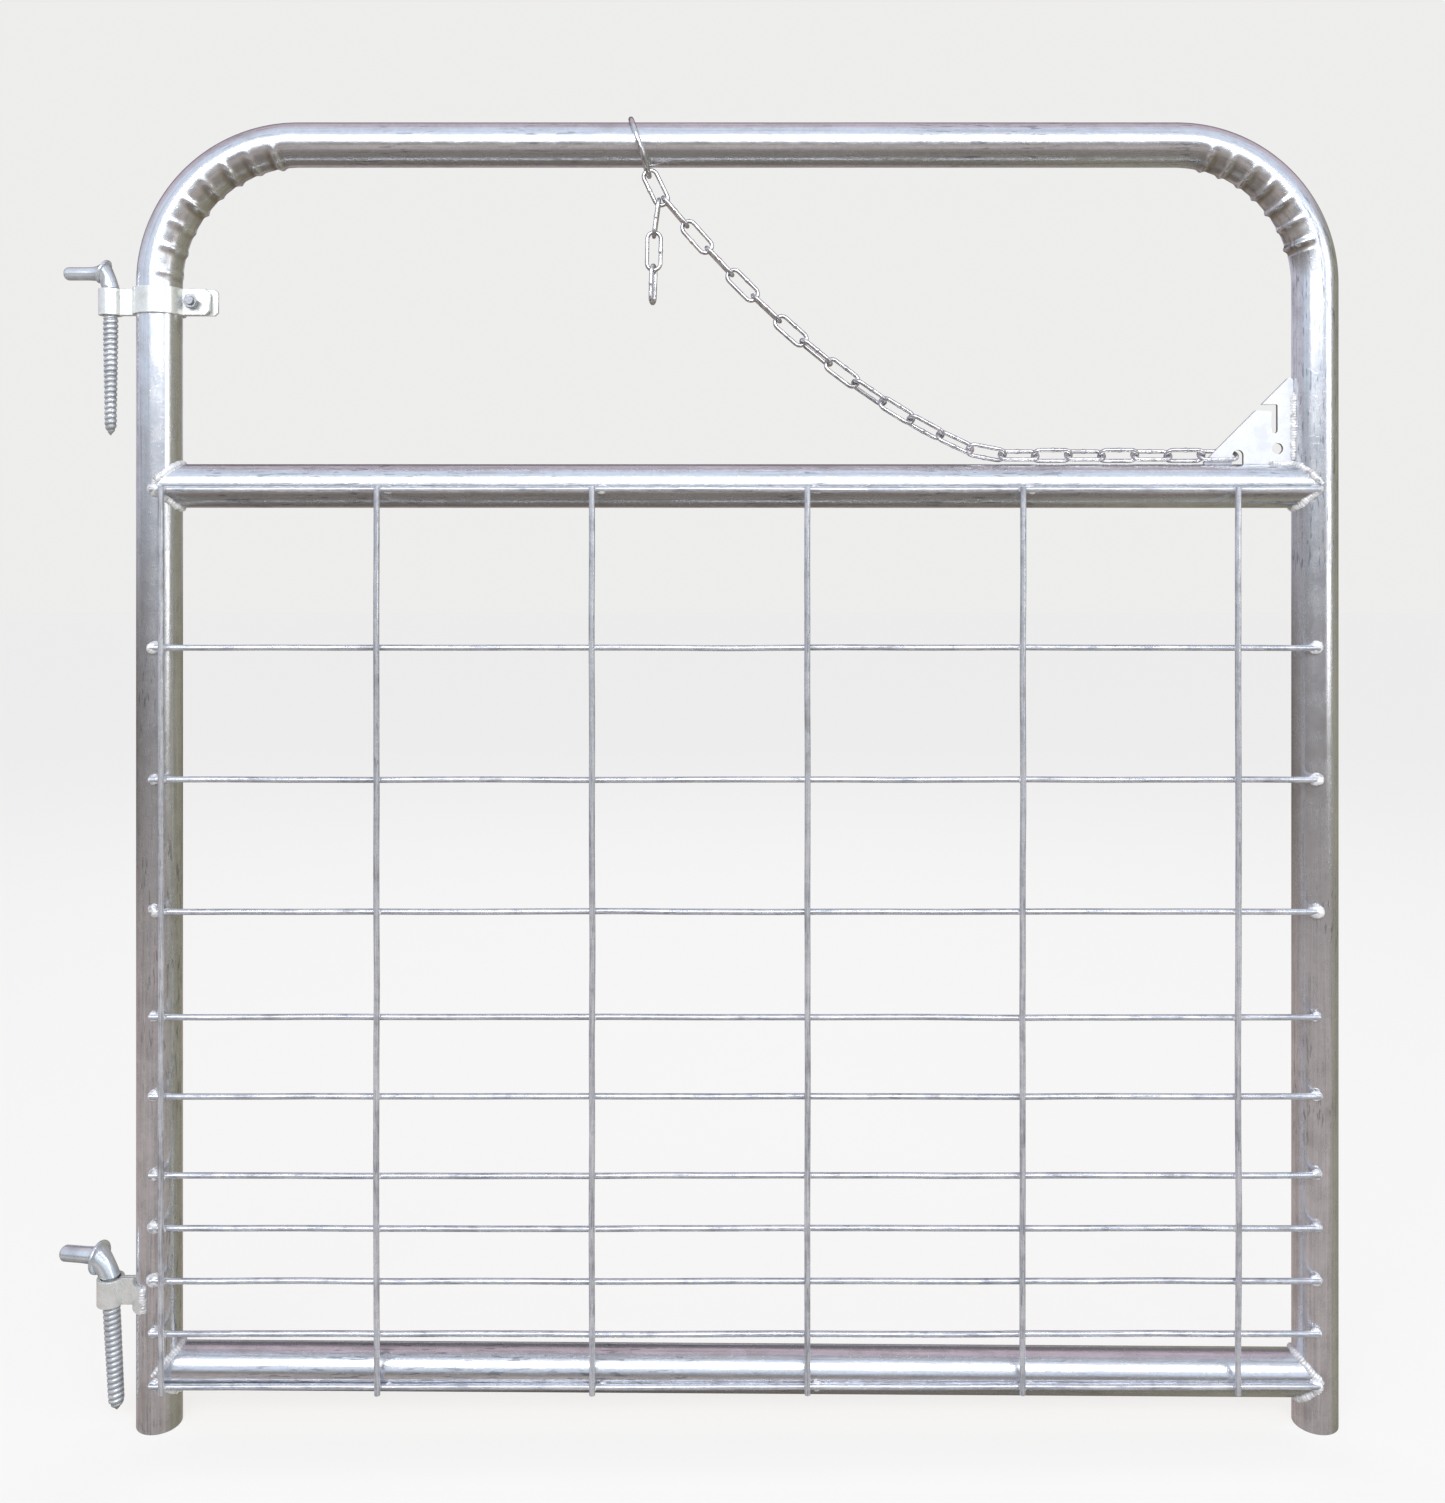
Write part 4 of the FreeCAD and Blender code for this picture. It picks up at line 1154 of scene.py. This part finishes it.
@dataclass
class Studio:
    """Pale floor, soft lights and the camera."""

    eye: Vector = field(default_factory=lambda: Vector((0.590, -1.350, 0.850)))
    lens: float = 33.53
    shift: float = 0.140719
    aim: Vector = field(default_factory=lambda: Vector((0.6, 0.0, 0.7)))
    floor_size: float = 30.0
    floor_glow: float = 0.74
    floor_shade: Colour = (0.2, 0.2, 0.2)
    sky: Colour = (0.76, 0.85, 1.0)
    ground: Colour = (0.11, 0.085, 0.06)
    path: Colour = (0.47, 0.39, 0.36)
    hedge: Colour = (0.27, 0.25, 0.16)
    shed: Colour = (0.1, 0.09, 0.1)
    haze: Colour = (0.74, 0.7, 0.8)
    dusk: Colour = (0.62, 0.46, 0.52)
    backdrop: Colour = (0.855, 0.85, 0.845)
    strength: float = 0.85

    def floor(self) -> None:
        """Lays the pale floor."""
        mesh = bpy.data.meshes.new("floor")
        half = self.floor_size / 2
        corners = [(-half, -half, 0), (half, -half, 0), (half, half, 0), (-half, half, 0)]
        mesh.from_pydata(corners, [], [(0, 1, 2, 3)])
        pale = bpy.data.materials.new("pale_floor")
        pale.use_nodes = True
        shader = pale.node_tree.nodes["Principled BSDF"]
        for name, value in (
            ("Base Color", (*self.floor_shade, 1.0)),
            ("Roughness", 0.9),
            ("Specular IOR Level", 0.1),
            ("Emission Color", (1.0, 0.99, 0.97, 1.0)),
            ("Emission Strength", self.floor_glow),
        ):
            shader.inputs[name].default_value = value
        mesh.materials.append(pale)
        ground = new_object("floor", mesh)
        ground.visible_glossy = False

    def lamp(
        self, name: str, place: Vector, size: tuple[float, float], watts: float, mirrored: bool
    ) -> None:
        """A soft lamp that points at the middle of the gate.

        Args:
            name: Its name.
            place: Where it stands.
            size: Its width and height.
            watts: Its power.
            mirrored: Whether it shows in reflections.
        """
        data = bpy.data.lights.new(name, "AREA")
        data.shape, data.energy = "RECTANGLE", watts
        data.size, data.size_y = size
        lamp = new_object(name, data)
        lamp.location = place
        lamp.rotation_euler = (self.aim - place).to_track_quat("-Z", "Y").to_euler()
        lamp.visible_glossy = mirrored

    def world(self) -> None:
        """A yard for reflections, with sky, path, haze, shed and hedge, and a plain backdrop."""
        world = bpy.data.worlds.new("soft_sky")
        world.use_nodes = True
        world.node_tree.nodes.clear()
        g = Graph(world.node_tree)
        right, back, height = g.parts(g.add("ShaderNodeTexCoord").outputs["Generated"])
        yard = g.blend(g.ramp(height, -0.04, 0.14), self.ground, self.sky)
        below = g.ramp(height, -0.15, -0.32) * g.ramp(height, -0.66, -0.48)
        behind = g.ramp(back, -0.3, 0.2) * g.ramp(height, -0.1, 0.1) * 0.9
        far = g.blend(g.ramp(height, 0.25, 0.6), self.haze, self.dusk)
        low = g.ramp(back, 0.45, 0.65) * g.ramp(height, 0.14, 0.22) * g.ramp(height, 0.82, 0.68)
        beside = g.ramp(right, 0.1, 0.4) * g.ramp(back, -0.6, -0.2) * g.ramp(height, 0.6, 0.25)
        for share, colour in ((below, self.path), (behind, far), (low, self.shed), (beside, self.hedge)):
            yard = g.blend(share, yard, colour)
        lit = g.add("ShaderNodeBackground", Color=yard, Strength=self.strength)
        plain = g.add("ShaderNodeBackground", Color=(*self.backdrop, 1.0), Strength=1.0)
        seen = g.add("ShaderNodeLightPath").outputs["Is Camera Ray"]
        mixed = g.add("ShaderNodeMixShader")
        for socket, value in zip(mixed.inputs, (seen, lit.outputs[0], plain.outputs[0])):
            g.feed(socket, value)
        g.add("ShaderNodeOutputWorld", Surface=mixed.outputs[0])
        bpy.context.scene.world = world

    def build(self) -> None:
        """Sets the floor, the world, the lamps and the camera."""
        self.floor()
        self.world()
        self.lamp("key", Vector((0.5, -2.6, 2.2)), (3.4, 0.9), 70.0, True)
        self.lamp("fill", Vector((3.4, -1.9, 1.3)), (1.2, 1.8), 14.0, True)
        self.lamp("rear", Vector((0.6, 2.4, 2.6)), (3.0, 0.9), 32.0, False)
        data = bpy.data.cameras.new("camera")
        data.lens, data.sensor_width, data.shift_y = self.lens, 36.0, -self.shift
        camera = new_object("camera", data)
        camera.location = self.eye
        camera.rotation_euler = (math.radians(90), 0, 0)
        bpy.context.scene.camera = camera
        bpy.context.scene.view_settings.view_transform = "Standard"


def main() -> None:
    """Builds every sub-assembly in order, then the studio."""
    tube = TubeFrame()
    upper = ScrewHook(
        "upper", seat=13.1 * MM, flare=7.9 * MM, collar=12 * MM, collar_x=-5.2 * MM, collar_height=29 * MM,
        collar_lean=24.0, shank=6.35 * MM, pin_height=27.6 * MM, reach=44 * MM, shoulder=15 * MM,
        drop=128.1 * MM, crest=6.6 * MM, root=5.6 * MM, taper=0.22,
    )
    lower = ScrewHook(
        "lower", seat=13.8 * MM, flare=9.3 * MM, collar=15.5 * MM, collar_x=-9 * MM, collar_height=30.4 * MM,
        collar_lean=6.5, shank=7.5 * MM, pin_height=31.9 * MM, reach=52.5 * MM, shoulder=18.6 * MM,
        drop=115.4 * MM, crest=7.6 * MM, root=6.5 * MM, taper=0.08,
    )
    for part in (tube, WireInfill(), WeldSeams(tube), PressedSteel(), upper, lower, Chain(), Studio()):
        part.build()


if __name__ == "__main__":
    main()
